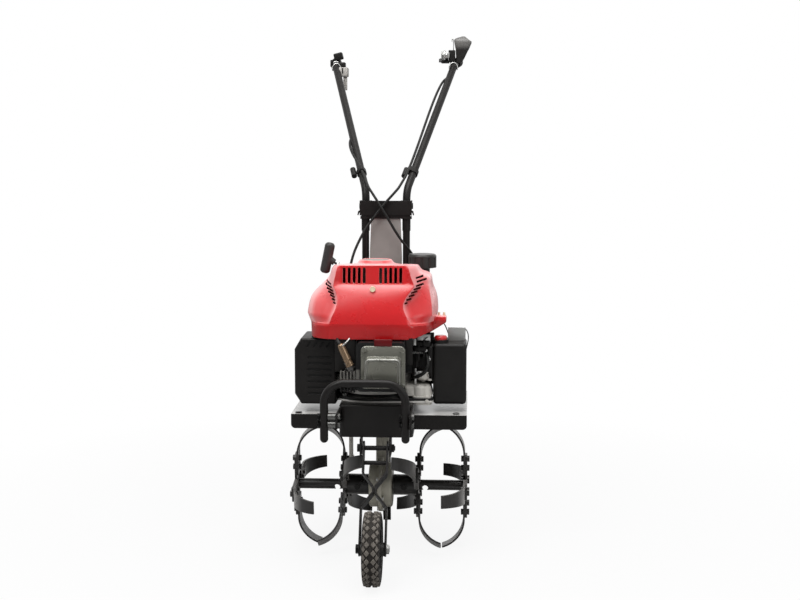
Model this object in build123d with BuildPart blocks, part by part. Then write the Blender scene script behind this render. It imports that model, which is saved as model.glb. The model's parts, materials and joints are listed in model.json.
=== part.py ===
# Garden tiller: vertical-shaft petrol engine, belt clutch, worm gearbox and four sets of tines.
from build123d import *
import os
from math import acos, asin, atan, atan2, cos, degrees, hypot, pi, radians, sin, sqrt, tan

os.makedirs("parts", exist_ok=True)

# Overall layout. The ground is z = 0, the machine faces -Y and is symmetric about X = 0.
TINE_R = 141.0  # tip radius of the tines
AXLE_Z = TINE_R  # a tip that points down stands on the ground
WHEEL_R = 77.0
WHEEL_AHEAD = 280.0  # wheel axle in front of the tine axle
GRIP_END_BACK = 663.0  # ends of the grips behind the tine axle
AXLE_Y = (WHEEL_AHEAD + WHEEL_R - GRIP_END_BACK) / 2  # centres the box on the origin
RUN_FIT = 0.05  # radial clearance of a shaft that turns in its bearing
AIR = 0.6  # gap between bodies that pass each other

# Fasteners.
BOLT_R = 4.0
HEAD_R = 7.0  # across the corners of a hexagon head
HEAD_H = 5.0
WASHER_R = 8.5
WASHER_H = 1.6

# Tines and their shaft.
OUTER_X = 190.0  # outer hub plates, at their middle
INNER_X = 82.0  # inner hub plates, at their middle
PLATE_T = 5.0
PLATE_ARM = 72.0  # reach of the four arms of a hub plate
PLATE_W = 36.0
BLADE_T = 4.0
BLADE_W = 40.0
BLADE_TIP_W = 27.0
BLADE_ROOT = 27.0
BLADE_BEND = 74.0  # radius at which a blade leaves the plane of its hub plate
BLADE_REACH = 50.0  # how far a tip stands to the side
BLADE_BOLTS = (40.0, 61.0)
AXLE_R = 11.0
AXLE_HALF = 74.0
DRUM_R = 23.0
DRUM_WALL = 3.0
TUBE_R = 11.5
TUBE_WALL = 2.5
NOTCH_R = 7.0
PIN_R = 4.0
PIN_X = 52.0

# Gearbox.
MODULE = 3.0
WHEEL_TEETH = 24
WORM_R = 11.0  # pitch radius of the worm
GEAR_R = MODULE * WHEEL_TEETH / 2
WORM_BACK = GEAR_R + WORM_R  # the worm shaft stands behind the tine axle
ADDENDUM = 2.4
DEDENDUM = 3.6
TOOTH_SLACK = 0.7  # taken off each flank of the thread and of the teeth
GEAR_W = 14.0
CASE_HALF = 26.0
CASE_R = 50.0
CASE_WALL = 6.0
FLANGE_R = 60.0
FLANGE_HALF = 4.0
STEM_R = 15.0
WORM_SHAFT_R = 7.0
BUSH_R = 10.0
BEARING_R = 26.0
BEARING_W = 11.0
CASE_BOLT_R = 3.0
CASE_BOLT_PCD_R = 55.0

# Engine bed.
BED_HALF = 78.0
BED_FRONT = 172.0  # front face, ahead of the tine axle
BED_REAR = 186.0
BED_LOW = 286.0
BED_TOP = 354.0
BED_WALL = 4.0

# Engine position and belt drive.
CRANK_X = -8.0
CRANK_AHEAD = 40.0
CRANK_Y = AXLE_Y - CRANK_AHEAD
WORM_Y = AXLE_Y + WORM_BACK
BELT_Z = 314.0
BELT_H = 8.0
BELT_T = 6.0
DRIVE_R = 19.0  # belt seat radius of the drive pulley
DRIVEN_R = 36.0
PULLEY_LIP = 7.0
PULLEY_H = 14.0
BELT_SLACK = 0.6


def block(x0, x1, y0, y1, z0, z1, mode=Mode.ADD):
    """A box between two corners."""
    with Locations(((x0 + x1) / 2, (y0 + y1) / 2, (z0 + z1) / 2)):
        Box(x1 - x0, y1 - y0, z1 - z0, mode=mode)


def rod_x(radius, x0, x1, y, z, mode=Mode.ADD):
    """A cylinder along X."""
    with Locations(Location(((x0 + x1) / 2, y, z), (0, 90, 0))):
        Cylinder(radius, x1 - x0, mode=mode)


def rod_y(radius, x, y0, y1, z, mode=Mode.ADD):
    """A cylinder along Y."""
    with Locations(Location((x, (y0 + y1) / 2, z), (90, 0, 0))):
        Cylinder(radius, y1 - y0, mode=mode)


def rod_z(radius, x, y, z0, z1, mode=Mode.ADD):
    """A cylinder along Z."""
    with Locations((x, y, (z0 + z1) / 2)):
        Cylinder(radius, z1 - z0, mode=mode)


def hexagon(place, radius, height):
    """A hexagon head or nut that stands on the plane."""
    with BuildSketch(place) as outline:
        RegularPolygon(radius, 6)
    extrude(outline.sketch, amount=height)


def tube(points, radii, radius, bore=0.0, mode=Mode.ADD):
    """A round tube along straight runs joined by tangent arcs, inside the part being built."""
    with BuildLine() as route:
        if radii:
            FilletPolyline(*points, radius=radii)
        else:
            Polyline(*points)
    path = route.line
    with BuildSketch(Plane(origin=path @ 0, z_dir=path % 0)) as section:
        Circle(radius)
        if bore:
            Circle(bore, mode=Mode.SUBTRACT)
    sweep(section.sketch, path=path, mode=mode)


# One tine blade, bent to +X, and its mirror image. The hub is at the origin and +Z points outwards.
bend_rise = TINE_R - BLADE_BEND
bend_turn = 2 * atan2(BLADE_REACH, bend_rise)
bend_r = bend_rise / sin(bend_turn)
with BuildPart() as blade_right:
    with BuildSketch(Plane(origin=(0, 0, 0), x_dir=(1, 0, 0), z_dir=(0, -1, 0))):
        with BuildLine():
            inner_r = bend_r - BLADE_T
            outer_end = (bend_r - bend_r * cos(bend_turn), BLADE_BEND + bend_r * sin(bend_turn))
            outer_mid = (
                bend_r - bend_r * cos(bend_turn / 2),
                BLADE_BEND + bend_r * sin(bend_turn / 2),
            )
            inner_end = (bend_r - inner_r * cos(bend_turn), BLADE_BEND + inner_r * sin(bend_turn))
            inner_mid = (
                bend_r - inner_r * cos(bend_turn / 2),
                BLADE_BEND + inner_r * sin(bend_turn / 2),
            )
            Line((0, BLADE_ROOT), (0, BLADE_BEND))
            ThreePointArc((0, BLADE_BEND), outer_mid, outer_end)
            Line(outer_end, inner_end)
            ThreePointArc(inner_end, inner_mid, (BLADE_T, BLADE_BEND))
            Line((BLADE_T, BLADE_BEND), (BLADE_T, BLADE_ROOT))
            Line((BLADE_T, BLADE_ROOT), (0, BLADE_ROOT))
        make_face()
    extrude(amount=BLADE_W / 2, both=True)
    # the outline seen along X: a straight root, then a taper to a blunt tip
    with BuildSketch(Plane(origin=(-BLADE_T, 0, 0), x_dir=(0, 1, 0), z_dir=(1, 0, 0))) as outline:
        with BuildLine():
            Polyline(
                (-BLADE_W / 2, 0),
                (BLADE_W / 2, 0),
                (BLADE_W / 2, BLADE_BEND + BLADE_T),
                (BLADE_TIP_W / 2, TINE_R + BLADE_T),
                (-BLADE_TIP_W / 2, TINE_R + BLADE_T),
                (-BLADE_W / 2, BLADE_BEND + BLADE_T),
                close=True,
            )
        make_face()
    extrude(amount=BLADE_REACH + 3 * BLADE_T, mode=Mode.INTERSECT)
    for bolt_r in BLADE_BOLTS:
        rod_x(BOLT_R + RUN_FIT, -BLADE_T, 2 * BLADE_T, 0, bolt_r, Mode.SUBTRACT)
with BuildPart() as blade_left:
    add(mirror(blade_right.part, about=Plane.YZ))

# Each set: place along the axle, turn of its first blade, and the way each blade bends.
TINE_SETS = (
    ("outer", -OUTER_X, 8.0, (1, 1, 1, 1)),
    ("inner", -INNER_X, -35.0, (-1, 1, -1, 1)),
    ("inner", INNER_X, -33.0, (1, -1, 1, -1)),
    ("outer", OUTER_X, 1.0, (-1, -1, -1, -1)),
)


def blades_of(kind):
    """All blades of the outer or of the inner sets, on the faces of their hub plates."""
    for name, hub_x, first, bends in TINE_SETS:
        if name == kind:
            for k in range(4):
                side = bends[k]
                place = Location(
                    (hub_x + side * PLATE_T / 2, AXLE_Y, AXLE_Z),
                    (first + 90 * k, 0, 0),
                )
                with Locations(place):
                    add(blade_right.part if side > 0 else blade_left.part)


with BuildPart() as outer_blades:
    blades_of("outer")
outer_blades.part.label = "outer_blades"
export_step(outer_blades.part, "parts/outer_blades.step")

with BuildPart() as inner_blades:
    blades_of("inner")
inner_blades.part.label = "inner_blades"
export_step(inner_blades.part, "parts/inner_blades.step")

with BuildPart() as blade_bolts:
    for name, hub_x, first, bends in TINE_SETS:
        for k in range(4):
            side = bends[k]
            turn = radians(first + 90 * k)
            out = Vector(0, -sin(turn), cos(turn))
            for bolt_r in BLADE_BOLTS:
                foot = Vector(hub_x, AXLE_Y, AXLE_Z) + out * bolt_r
                low = foot + Vector(-side * PLATE_T / 2, 0, 0)
                high = foot + Vector(side * (PLATE_T / 2 + BLADE_T), 0, 0)
                rod_x(
                    BOLT_R - RUN_FIT,
                    min(low.X, high.X) - HEAD_H / 2,
                    max(low.X, high.X) + HEAD_H / 2,
                    foot.Y,
                    foot.Z,
                )
                hexagon(Plane(origin=low, z_dir=(-side, 0, 0), x_dir=out), HEAD_R, HEAD_H)
                hexagon(Plane(origin=high, z_dir=(side, 0, 0), x_dir=out), HEAD_R, HEAD_H)
blade_bolts.part.label = "blade_bolts"
export_step(blade_bolts.part, "parts/blade_bolts.step")

# Tine carriers: drum, two hub plates and a spacer tube welded together, one on each side.
DRUM_END = CASE_HALF + 1.5
with BuildPart() as tine_carriers:
    for side in (-1, 1):
        near = side * DRUM_END
        far = side * (INNER_X - PLATE_T / 2)
        tip = side * (OUTER_X + PLATE_T / 2)
        rod_x(DRUM_R, min(near, far), max(near, far), AXLE_Y, AXLE_Z)
        for hub_x in (INNER_X, OUTER_X):
            plate = Plane(
                origin=(side * hub_x - PLATE_T / 2, AXLE_Y, AXLE_Z),
                x_dir=(0, 1, 0),
                z_dir=(1, 0, 0),
            )
            turns = [first for name, x, first, bends in TINE_SETS if x == side * hub_x]
            with BuildSketch(plate):
                for k in range(2):
                    with Locations(Location((0, 0, 0), (0, 0, turns[0] + 90 * k))):
                        RectangleRounded(2 * PLATE_ARM, PLATE_W, PLATE_W / 4)
            extrude(amount=PLATE_T)
        rod_x(TUBE_R, min(far, tip), max(far, tip), AXLE_Y, AXLE_Z)
    for side in (-1, 1):
        # the drum is a shell with a sleeve for the axle, the spacer is a tube
        hollow = (side * (DRUM_END + DRUM_WALL), side * (INNER_X - PLATE_T / 2 - DRUM_WALL))
        rod_x(DRUM_R - DRUM_WALL, min(hollow), max(hollow), AXLE_Y, AXLE_Z, Mode.SUBTRACT)
        sleeve = (side * DRUM_END, side * (INNER_X - PLATE_T / 2))
        rod_x(AXLE_R + DRUM_WALL, min(sleeve), max(sleeve), AXLE_Y, AXLE_Z)
        bore = (side * (DRUM_END - 1), side * (AXLE_HALF + AIR))
        rod_x(AXLE_R + RUN_FIT, min(bore), max(bore), AXLE_Y, AXLE_Z, Mode.SUBTRACT)
        open_end = (side * (INNER_X + PLATE_T / 2), side * (OUTER_X + PLATE_T))
        rod_x(TUBE_R - TUBE_WALL, min(open_end), max(open_end), AXLE_Y, AXLE_Z, Mode.SUBTRACT)
        # half-round notch under the spacer tube, near the inner hub plate
        rod_y(
            NOTCH_R,
            side * (INNER_X + PLATE_T / 2 + 2 * NOTCH_R),
            AXLE_Y - 2 * TUBE_R,
            AXLE_Y + 2 * TUBE_R,
            AXLE_Z - TUBE_R / 2,
            Mode.SUBTRACT,
        )
        for hub_x, first in [(x, first) for name, x, first, bends in TINE_SETS if x * side > 0]:
            for k in range(4):
                turn = radians(first + 90 * k)
                for bolt_r in BLADE_BOLTS:
                    rod_x(
                        BOLT_R + RUN_FIT,
                        hub_x - PLATE_T,
                        hub_x + PLATE_T,
                        AXLE_Y - bolt_r * sin(turn),
                        AXLE_Z + bolt_r * cos(turn),
                        Mode.SUBTRACT,
                    )
        rod_y(
            PIN_R + RUN_FIT,
            side * PIN_X,
            AXLE_Y - 2 * DRUM_R,
            AXLE_Y + 2 * DRUM_R,
            AXLE_Z,
            Mode.SUBTRACT,
        )
tine_carriers.part.label = "tine_carriers"
export_step(tine_carriers.part, "parts/tine_carriers.step")

# Pins that hold the carriers on the axle: a rod with a head, and a spring clip as a ring.
CLIP_R = 1.2
with BuildPart() as carrier_pins:
    for side in (-1, 1):
        rod_y(PIN_R, side * PIN_X, AXLE_Y - DRUM_R - 3, AXLE_Y + DRUM_R + 8, AXLE_Z)
        rod_y(PIN_R + 2.5, side * PIN_X, AXLE_Y - DRUM_R - 5, AXLE_Y - DRUM_R - 2, AXLE_Z)
        with Locations(Location((side * PIN_X, AXLE_Y + DRUM_R + 4.5, AXLE_Z), (90, 0, 0))):
            Torus(PIN_R + CLIP_R / 2, CLIP_R)
carrier_pins.part.label = "carrier_pins"
export_step(carrier_pins.part, "parts/carrier_pins.step")

with BuildPart() as tine_axle:
    rod_x(AXLE_R, -AXLE_HALF, AXLE_HALF, AXLE_Y, AXLE_Z)
    for side in (-1, 1):
        rod_y(PIN_R + RUN_FIT, side * PIN_X, AXLE_Y - 20, AXLE_Y + 20, AXLE_Z, Mode.SUBTRACT)
tine_axle.part.label = "tine_axle"
export_step(tine_axle.part, "parts/tine_axle.step")

# Worm wheel with slanted tooth gaps, and the worm as a helical thread on its shaft.
axial_pitch = pi * MODULE
lead_angle = atan(axial_pitch / (2 * pi * WORM_R))
tip_r = GEAR_R + ADDENDUM
root_r = GEAR_R - DEDENDUM
flank = tan(radians(20))
with BuildPart() as worm_wheel:
    rod_x(tip_r, -GEAR_W / 2, GEAR_W / 2, AXLE_Y, AXLE_Z)
    rod_x(AXLE_R, -GEAR_W, GEAR_W, AXLE_Y, AXLE_Z, Mode.SUBTRACT)
    for k in range(WHEEL_TEETH):
        turn = 2 * pi * k / WHEEL_TEETH
        out = Vector(0, cos(turn), sin(turn))
        along = Vector(0, -sin(turn), cos(turn))
        middle = Vector(0, AXLE_Y, AXLE_Z) + out * GEAR_R
        run = (Vector(1, 0, 0) * cos(lead_angle) + along * sin(lead_angle)).normalized()
        half = axial_pitch / 4 + TOOTH_SLACK
        with BuildSketch(Plane(origin=middle, x_dir=out, z_dir=run)):
            with BuildLine():
                Polyline(
                    (-DEDENDUM, half - DEDENDUM * flank),
                    (2 * ADDENDUM, half + 2 * ADDENDUM * flank),
                    (2 * ADDENDUM, -half - 2 * ADDENDUM * flank),
                    (-DEDENDUM, -half + DEDENDUM * flank),
                    close=True,
                )
            make_face()
        extrude(amount=GEAR_W, both=True, mode=Mode.SUBTRACT)
worm_wheel.part.label = "worm_wheel"
export_step(worm_wheel.part, "parts/worm_wheel.step")

WORM_TURNS = 4.0
THREAD_PHASE = 0.25  # turns: puts the thread in the tooth gap that faces the worm
WORM_LOW = AXLE_Z - CASE_R + CASE_WALL
SHAFT_TOP = BELT_Z + PULLEY_H / 2 + 6
worm_core_r = WORM_R - DEDENDUM
thread_half = axial_pitch / 4 - TOOTH_SLACK
with BuildPart() as worm_shaft:
    rod_z(WORM_SHAFT_R, 0, WORM_Y, WORM_LOW, SHAFT_TOP)
    rod_z(
        worm_core_r,
        0,
        WORM_Y,
        AXLE_Z - axial_pitch * (WORM_TURNS / 2 + 0.7),
        AXLE_Z + axial_pitch * (WORM_TURNS / 2 + 0.7),
    )
    with BuildLine():
        thread_path = Helix(
            pitch=axial_pitch,
            height=axial_pitch * WORM_TURNS,
            radius=WORM_R,
            center=(0, WORM_Y, AXLE_Z - axial_pitch * (WORM_TURNS / 2 - THREAD_PHASE)),
        )
    thread_in = DEDENDUM + 0.4
    start = thread_path @ 0
    outwards = (start - Vector(0, WORM_Y, start.Z)).normalized()
    with BuildSketch(Plane(origin=start, x_dir=outwards, z_dir=thread_path % 0)):
        with BuildLine():
            Polyline(
                (-thread_in, thread_half + thread_in * flank),
                (ADDENDUM, thread_half - ADDENDUM * flank),
                (ADDENDUM, -thread_half + ADDENDUM * flank),
                (-thread_in, -thread_half - thread_in * flank),
                close=True,
            )
        make_face()
    sweep(path=thread_path, is_frenet=True)
worm_shaft.part.label = "worm_shaft"
export_step(worm_shaft.part, "parts/worm_shaft.step")

# Bearings of the axle and bushes of the worm shaft.
BUSH_LOW = WORM_LOW + 2
BUSH_H = 12.0
BUSH_TOP = BED_LOW - 6
with BuildPart() as gear_bearings:
    for side in (-1, 1):
        span = (side * (CASE_HALF - 2 - BEARING_W), side * (CASE_HALF - 2))
        rod_x(BEARING_R, min(span), max(span), AXLE_Y, AXLE_Z)
        rod_x(AXLE_R + RUN_FIT, min(span), max(span), AXLE_Y, AXLE_Z, Mode.SUBTRACT)
    for low in (BUSH_LOW, BUSH_TOP - BUSH_H):
        rod_z(BUSH_R, 0, WORM_Y, low, low + BUSH_H)
        rod_z(WORM_SHAFT_R + RUN_FIT, 0, WORM_Y, low, low + BUSH_H, Mode.SUBTRACT)
gear_bearings.part.label = "gear_bearings"
export_step(gear_bearings.part, "parts/gear_bearings.step")

# Gear case: both halves share one outline, split at X = 0.
FLANGE_TOP_H = 7.0
FLANGE_TOP_X = 24.0
FLANGE_TOP_Y = 42.0
POCKET_R = 15.5
MOUNT_BOLT_Y = 33.0
case_bolt_turns = [radians(a) for a in (110, 155, 200, 245, 285)]
with BuildPart() as gear_case:
    rod_x(CASE_R, -CASE_HALF, CASE_HALF, AXLE_Y, AXLE_Z)
    rod_z(POCKET_R + CASE_WALL, 0, WORM_Y, WORM_LOW - CASE_WALL, AXLE_Z + 33)
    fillet(gear_case.edges().filter_by(GeomType.CIRCLE).group_by(Axis.Z)[-1], CASE_WALL - 1)
    rod_x(FLANGE_R, -FLANGE_HALF, FLANGE_HALF, AXLE_Y, AXLE_Z)
    rod_z(STEM_R, 0, WORM_Y, AXLE_Z, BED_LOW)
    block(
        -FLANGE_TOP_X,
        FLANGE_TOP_X,
        WORM_Y - FLANGE_TOP_Y,
        WORM_Y + FLANGE_TOP_Y,
        BED_LOW - FLANGE_TOP_H,
        BED_LOW,
    )
    # hollow for the gears, seats of the bearings and bushes
    rod_x(CASE_R - CASE_WALL, -GEAR_W / 2 - 2, GEAR_W / 2 + 2, AXLE_Y, AXLE_Z, Mode.SUBTRACT)
    rod_z(POCKET_R, 0, WORM_Y, BUSH_LOW + BUSH_H, AXLE_Z + 27, Mode.SUBTRACT)
    rod_z(WORM_SHAFT_R + 1, 0, WORM_Y, WORM_LOW, BED_LOW, Mode.SUBTRACT)
    rod_z(BUSH_R, 0, WORM_Y, BUSH_LOW, BUSH_LOW + BUSH_H, Mode.SUBTRACT)
    rod_z(BUSH_R, 0, WORM_Y, BUSH_TOP - BUSH_H, BED_LOW, Mode.SUBTRACT)
    rod_x(AXLE_R + 1, -CASE_HALF, CASE_HALF, AXLE_Y, AXLE_Z, Mode.SUBTRACT)
    for side in (-1, 1):
        span = (side * (CASE_HALF - 2 - BEARING_W), side * (CASE_HALF - 2))
        rod_x(BEARING_R, min(span), max(span), AXLE_Y, AXLE_Z, Mode.SUBTRACT)
    for turn in case_bolt_turns:
        rod_x(
            CASE_BOLT_R + RUN_FIT,
            -FLANGE_R,
            FLANGE_R,
            AXLE_Y + CASE_BOLT_PCD_R * cos(turn),
            AXLE_Z + CASE_BOLT_PCD_R * sin(turn),
            Mode.SUBTRACT,
        )
    for side in (-1, 1):
        rod_z(BOLT_R + RUN_FIT, 0, WORM_Y + side * MOUNT_BOLT_Y, AXLE_Z, BED_LOW, Mode.SUBTRACT)
with BuildPart() as gearcase_left:
    add(gear_case.part)
    block(0, 2 * FLANGE_R, AXLE_Y - 200, AXLE_Y + 200, 0, BED_TOP, Mode.SUBTRACT)
gearcase_left.part.label = "gearcase_left"
export_step(gearcase_left.part, "parts/gearcase_left.step")
with BuildPart() as gearcase_right:
    add(gear_case.part)
    block(-2 * FLANGE_R, 0, AXLE_Y - 200, AXLE_Y + 200, 0, BED_TOP, Mode.SUBTRACT)
gearcase_right.part.label = "gearcase_right"
export_step(gearcase_right.part, "parts/gearcase_right.step")

CASE_HEAD_R = 4.8
CASE_HEAD_H = 4.0
with BuildPart() as gearcase_bolts:
    for turn in case_bolt_turns:
        y = AXLE_Y + CASE_BOLT_PCD_R * cos(turn)
        z = AXLE_Z + CASE_BOLT_PCD_R * sin(turn)
        rod_x(CASE_BOLT_R, -FLANGE_HALF - 1, FLANGE_HALF + 1, y, z)
        for side in (-1, 1):
            hexagon(
                Plane(origin=(side * FLANGE_HALF, y, z), z_dir=(side, 0, 0)),
                CASE_HEAD_R,
                CASE_HEAD_H,
            )
gearcase_bolts.part.label = "gearcase_bolts"
export_step(gearcase_bolts.part, "parts/gearcase_bolts.step")

# Engine bed: a folded box, open below at the front, with ears for the bumper and lugs for the wheel arm.
PIVOT_AHEAD = 176.0
PIVOT_Z = 264.0
LUG_X = 31.0
LUG_T = 4.0
LUG_LOW = 250.0
EAR_AHEAD = 248.0
EAR_LOW = 318.0
EAR_HIGH = BED_TOP - 6
EAR_BOLT_AHEAD = 235.0
EAR_BOLT_Z = (326.0, 342.0)
PIVOT_R = 5.0
CRANK_HOLE_R = 52.0
front_y = AXLE_Y - BED_FRONT
rear_y = AXLE_Y + BED_REAR
floor_y = AXLE_Y - 8
STAKE_HALF = 9.0
SOCKET_WALL = 3.5
SOCKET_LOW = 262.0
SOCKET_TOP = 336.0
SOCKET_GAP = 0.4
STAKE_Y = rear_y + 4 + SOCKET_WALL + STAKE_HALF + SOCKET_GAP
IDLER_PIVOT = (-56.0, WORM_Y + 50)
IDLER_PIVOT_R = 6.0
ENGINE_BOLT_R = 96.0
engine_bolt_turns = [radians(a) for a in (50, 130, 230, 310)]
BED_CORNER = 12.0
FENDER_TOP = 329.0
FENDER_FLANGE = 24.0
fender_bolt_y = (-90.0, 90.0)
with BuildPart() as engine_bed:
    block(-BED_HALF, BED_HALF, front_y, rear_y, BED_LOW, BED_TOP)
    fillet(engine_bed.edges().filter_by(Axis.Z), BED_CORNER)
    fillet(engine_bed.faces().sort_by(Axis.Z)[-1].edges(), BED_WALL - 1)
    block(
        -BED_HALF + BED_WALL,
        BED_HALF - BED_WALL,
        front_y + BED_WALL,
        rear_y - BED_WALL,
        BED_LOW + BED_WALL,
        BED_TOP - BED_WALL,
        Mode.SUBTRACT,
    )
    block(
        -BED_HALF + BED_WALL,
        BED_HALF - BED_WALL,
        front_y + BED_WALL,
        floor_y,
        BED_LOW,
        BED_LOW + 2 * BED_WALL,
        Mode.SUBTRACT,
    )
    for side in (-1, 1):
        ear = (side * (BED_HALF - BED_WALL), side * BED_HALF)
        block(
            min(ear),
            max(ear),
            AXLE_Y - EAR_AHEAD,
            front_y + 3 * BED_CORNER,
            EAR_LOW,
            EAR_HIGH,
        )
        lug = (side * (LUG_X - LUG_T / 2), side * (LUG_X + LUG_T / 2))
        block(
            min(lug),
            max(lug),
            AXLE_Y - PIVOT_AHEAD - 16,
            front_y + BED_WALL + 18,
            LUG_LOW,
            BED_LOW,
        )
        block(
            min(lug),
            max(lug),
            front_y + 1,
            front_y + BED_WALL + 18,
            BED_LOW - 1,
            BED_TOP - 1,
        )
    socket = STAKE_HALF + SOCKET_GAP + SOCKET_WALL
    block(-socket, socket, rear_y - 1, STAKE_Y + socket, SOCKET_LOW, SOCKET_TOP)
    hole = STAKE_HALF + SOCKET_GAP
    block(
        -hole,
        hole,
        STAKE_Y - hole,
        STAKE_Y + hole,
        SOCKET_LOW - 1,
        SOCKET_TOP + 1,
        Mode.SUBTRACT,
    )
    rod_y(BOLT_R, 0, STAKE_Y, STAKE_Y + 2 * socket, (SOCKET_LOW + SOCKET_TOP) / 2, Mode.SUBTRACT)
    rod_z(IDLER_PIVOT_R, IDLER_PIVOT[0], IDLER_PIVOT[1], BELT_Z + 2, BED_TOP - BED_WALL + 1)
    rod_z(CRANK_HOLE_R, CRANK_X, CRANK_Y, BED_TOP - 2 * BED_WALL, BED_TOP + 1, Mode.SUBTRACT)
    rod_z(BUSH_R + 2, 0, WORM_Y, BED_LOW - 1, BED_LOW + 2 * BED_WALL, Mode.SUBTRACT)
    for side in (-1, 1):
        rod_z(
            BOLT_R + RUN_FIT,
            0,
            WORM_Y + side * MOUNT_BOLT_Y,
            BED_LOW - 1,
            BED_LOW + 2 * BED_WALL,
            Mode.SUBTRACT,
        )
        for z in EAR_BOLT_Z:
            rod_x(
                BOLT_R + RUN_FIT,
                side * BED_HALF - 2 * BED_WALL,
                side * BED_HALF + 2 * BED_WALL,
                AXLE_Y - EAR_BOLT_AHEAD,
                z,
                Mode.SUBTRACT,
            )
        for y in fender_bolt_y:
            rod_x(
                BOLT_R + RUN_FIT,
                side * BED_HALF - 2 * BED_WALL,
                side * BED_HALF + 2 * BED_WALL,
                AXLE_Y + y,
                FENDER_TOP - FENDER_FLANGE / 2,
                Mode.SUBTRACT,
            )
    rod_x(
        PIVOT_R + RUN_FIT,
        -LUG_X - 2 * LUG_T,
        LUG_X + 2 * LUG_T,
        AXLE_Y - PIVOT_AHEAD,
        PIVOT_Z,
        Mode.SUBTRACT,
    )
    for turn in engine_bolt_turns:
        rod_z(
            BOLT_R + RUN_FIT,
            CRANK_X + ENGINE_BOLT_R * cos(turn),
            CRANK_Y + ENGINE_BOLT_R * sin(turn),
            BED_TOP - 2 * BED_WALL,
            BED_TOP + 1,
            Mode.SUBTRACT,
        )
engine_bed.part.label = "engine_bed"
export_step(engine_bed.part, "parts/engine_bed.step")

# Fenders: a flat top with a deep front lip and a sloping rear flap, bolted to the sides of the bed.
FENDER_T = 2.5
FENDER_OUT = {-1: 183.0, 1: 191.0}  # the left one is a little narrower
FENDER_Y = 145.0
LIP_H = 31.0
LIP_CORNER = 9.0
FLAP_DROP = 42.0
FLAP_BACK = 62.0
FENDER_BOLT_X = 168.0
FENDER_BOLT_Y = 132.0


def fender(side):
    """One fender, on the side given as -1 or 1."""
    inner = side * BED_HALF
    outer = side * FENDER_OUT[side]
    section = Plane(origin=(inner, 0, 0), x_dir=(0, 1, 0), z_dir=(1, 0, 0))
    with BuildSketch(section) as profile:
        with BuildLine():
            Polyline(
                (AXLE_Y - FENDER_Y, FENDER_TOP - LIP_H),
                (AXLE_Y - FENDER_Y, FENDER_TOP),
                (AXLE_Y + FENDER_Y, FENDER_TOP),
                (AXLE_Y + FENDER_Y + FLAP_BACK, FENDER_TOP - FLAP_DROP),
                (AXLE_Y + FENDER_Y + FLAP_BACK - FENDER_T, FENDER_TOP - FLAP_DROP - FENDER_T),
                (AXLE_Y + FENDER_Y - FENDER_T / 2, FENDER_TOP - FENDER_T),
                (AXLE_Y - FENDER_Y + FENDER_T, FENDER_TOP - FENDER_T),
                (AXLE_Y - FENDER_Y + FENDER_T, FENDER_TOP - LIP_H),
                close=True,
            )
        make_face()
    extrude(profile.sketch, amount=side * (FENDER_OUT[side] - BED_HALF))
    wall = (inner, inner + side * FENDER_T)
    block(
        min(wall),
        max(wall),
        AXLE_Y - FENDER_Y,
        AXLE_Y + FENDER_Y,
        FENDER_TOP - FENDER_FLANGE,
        FENDER_TOP - FENDER_T / 2,
    )
    for y in fender_bolt_y:
        rod_x(
            BOLT_R + RUN_FIT,
            inner - 2 * BED_WALL,
            inner + 2 * BED_WALL,
            AXLE_Y + y,
            FENDER_TOP - FENDER_FLANGE / 2,
            Mode.SUBTRACT,
        )
    rod_z(
        BOLT_R + RUN_FIT,
        side * FENDER_BOLT_X,
        AXLE_Y - FENDER_BOLT_Y,
        FENDER_TOP - 2 * FENDER_T,
        FENDER_TOP + FENDER_T,
        Mode.SUBTRACT,
    )


with BuildPart() as left_fender:
    fender(-1)
    fillet(
        left_fender.edges().filter_by(Axis.Y).group_by(Axis.X)[0].group_by(Axis.Z)[0], LIP_CORNER
    )
left_fender.part.label = "left_fender"
export_step(left_fender.part, "parts/left_fender.step")
with BuildPart() as right_fender:
    fender(1)
    fillet(
        right_fender.edges().filter_by(Axis.Y).group_by(Axis.X)[-1].group_by(Axis.Z)[0], LIP_CORNER
    )
right_fender.part.label = "right_fender"
export_step(right_fender.part, "parts/right_fender.step")

# Bolts of the fenders: two into each side of the bed and one at each outer front corner.
with BuildPart() as fender_bolts:
    for side in (-1, 1):
        for y in fender_bolt_y:
            head = Vector(side * (BED_HALF + FENDER_T), AXLE_Y + y, FENDER_TOP - FENDER_FLANGE / 2)
            hexagon(Plane(origin=head, z_dir=(side, 0, 0)), HEAD_R, HEAD_H)
            shank = (side * (BED_HALF - 2 * BED_WALL), head.X + side * HEAD_H / 2)
            rod_x(BOLT_R, min(shank), max(shank), head.Y, head.Z)
        x = side * FENDER_BOLT_X
        y = AXLE_Y - FENDER_BOLT_Y
        rod_z(BOLT_R, x, y, FENDER_TOP - FENDER_T - HEAD_H, FENDER_TOP + 1)
        rod_z(HEAD_R, x, y, FENDER_TOP, FENDER_TOP + HEAD_H / 2)

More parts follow.
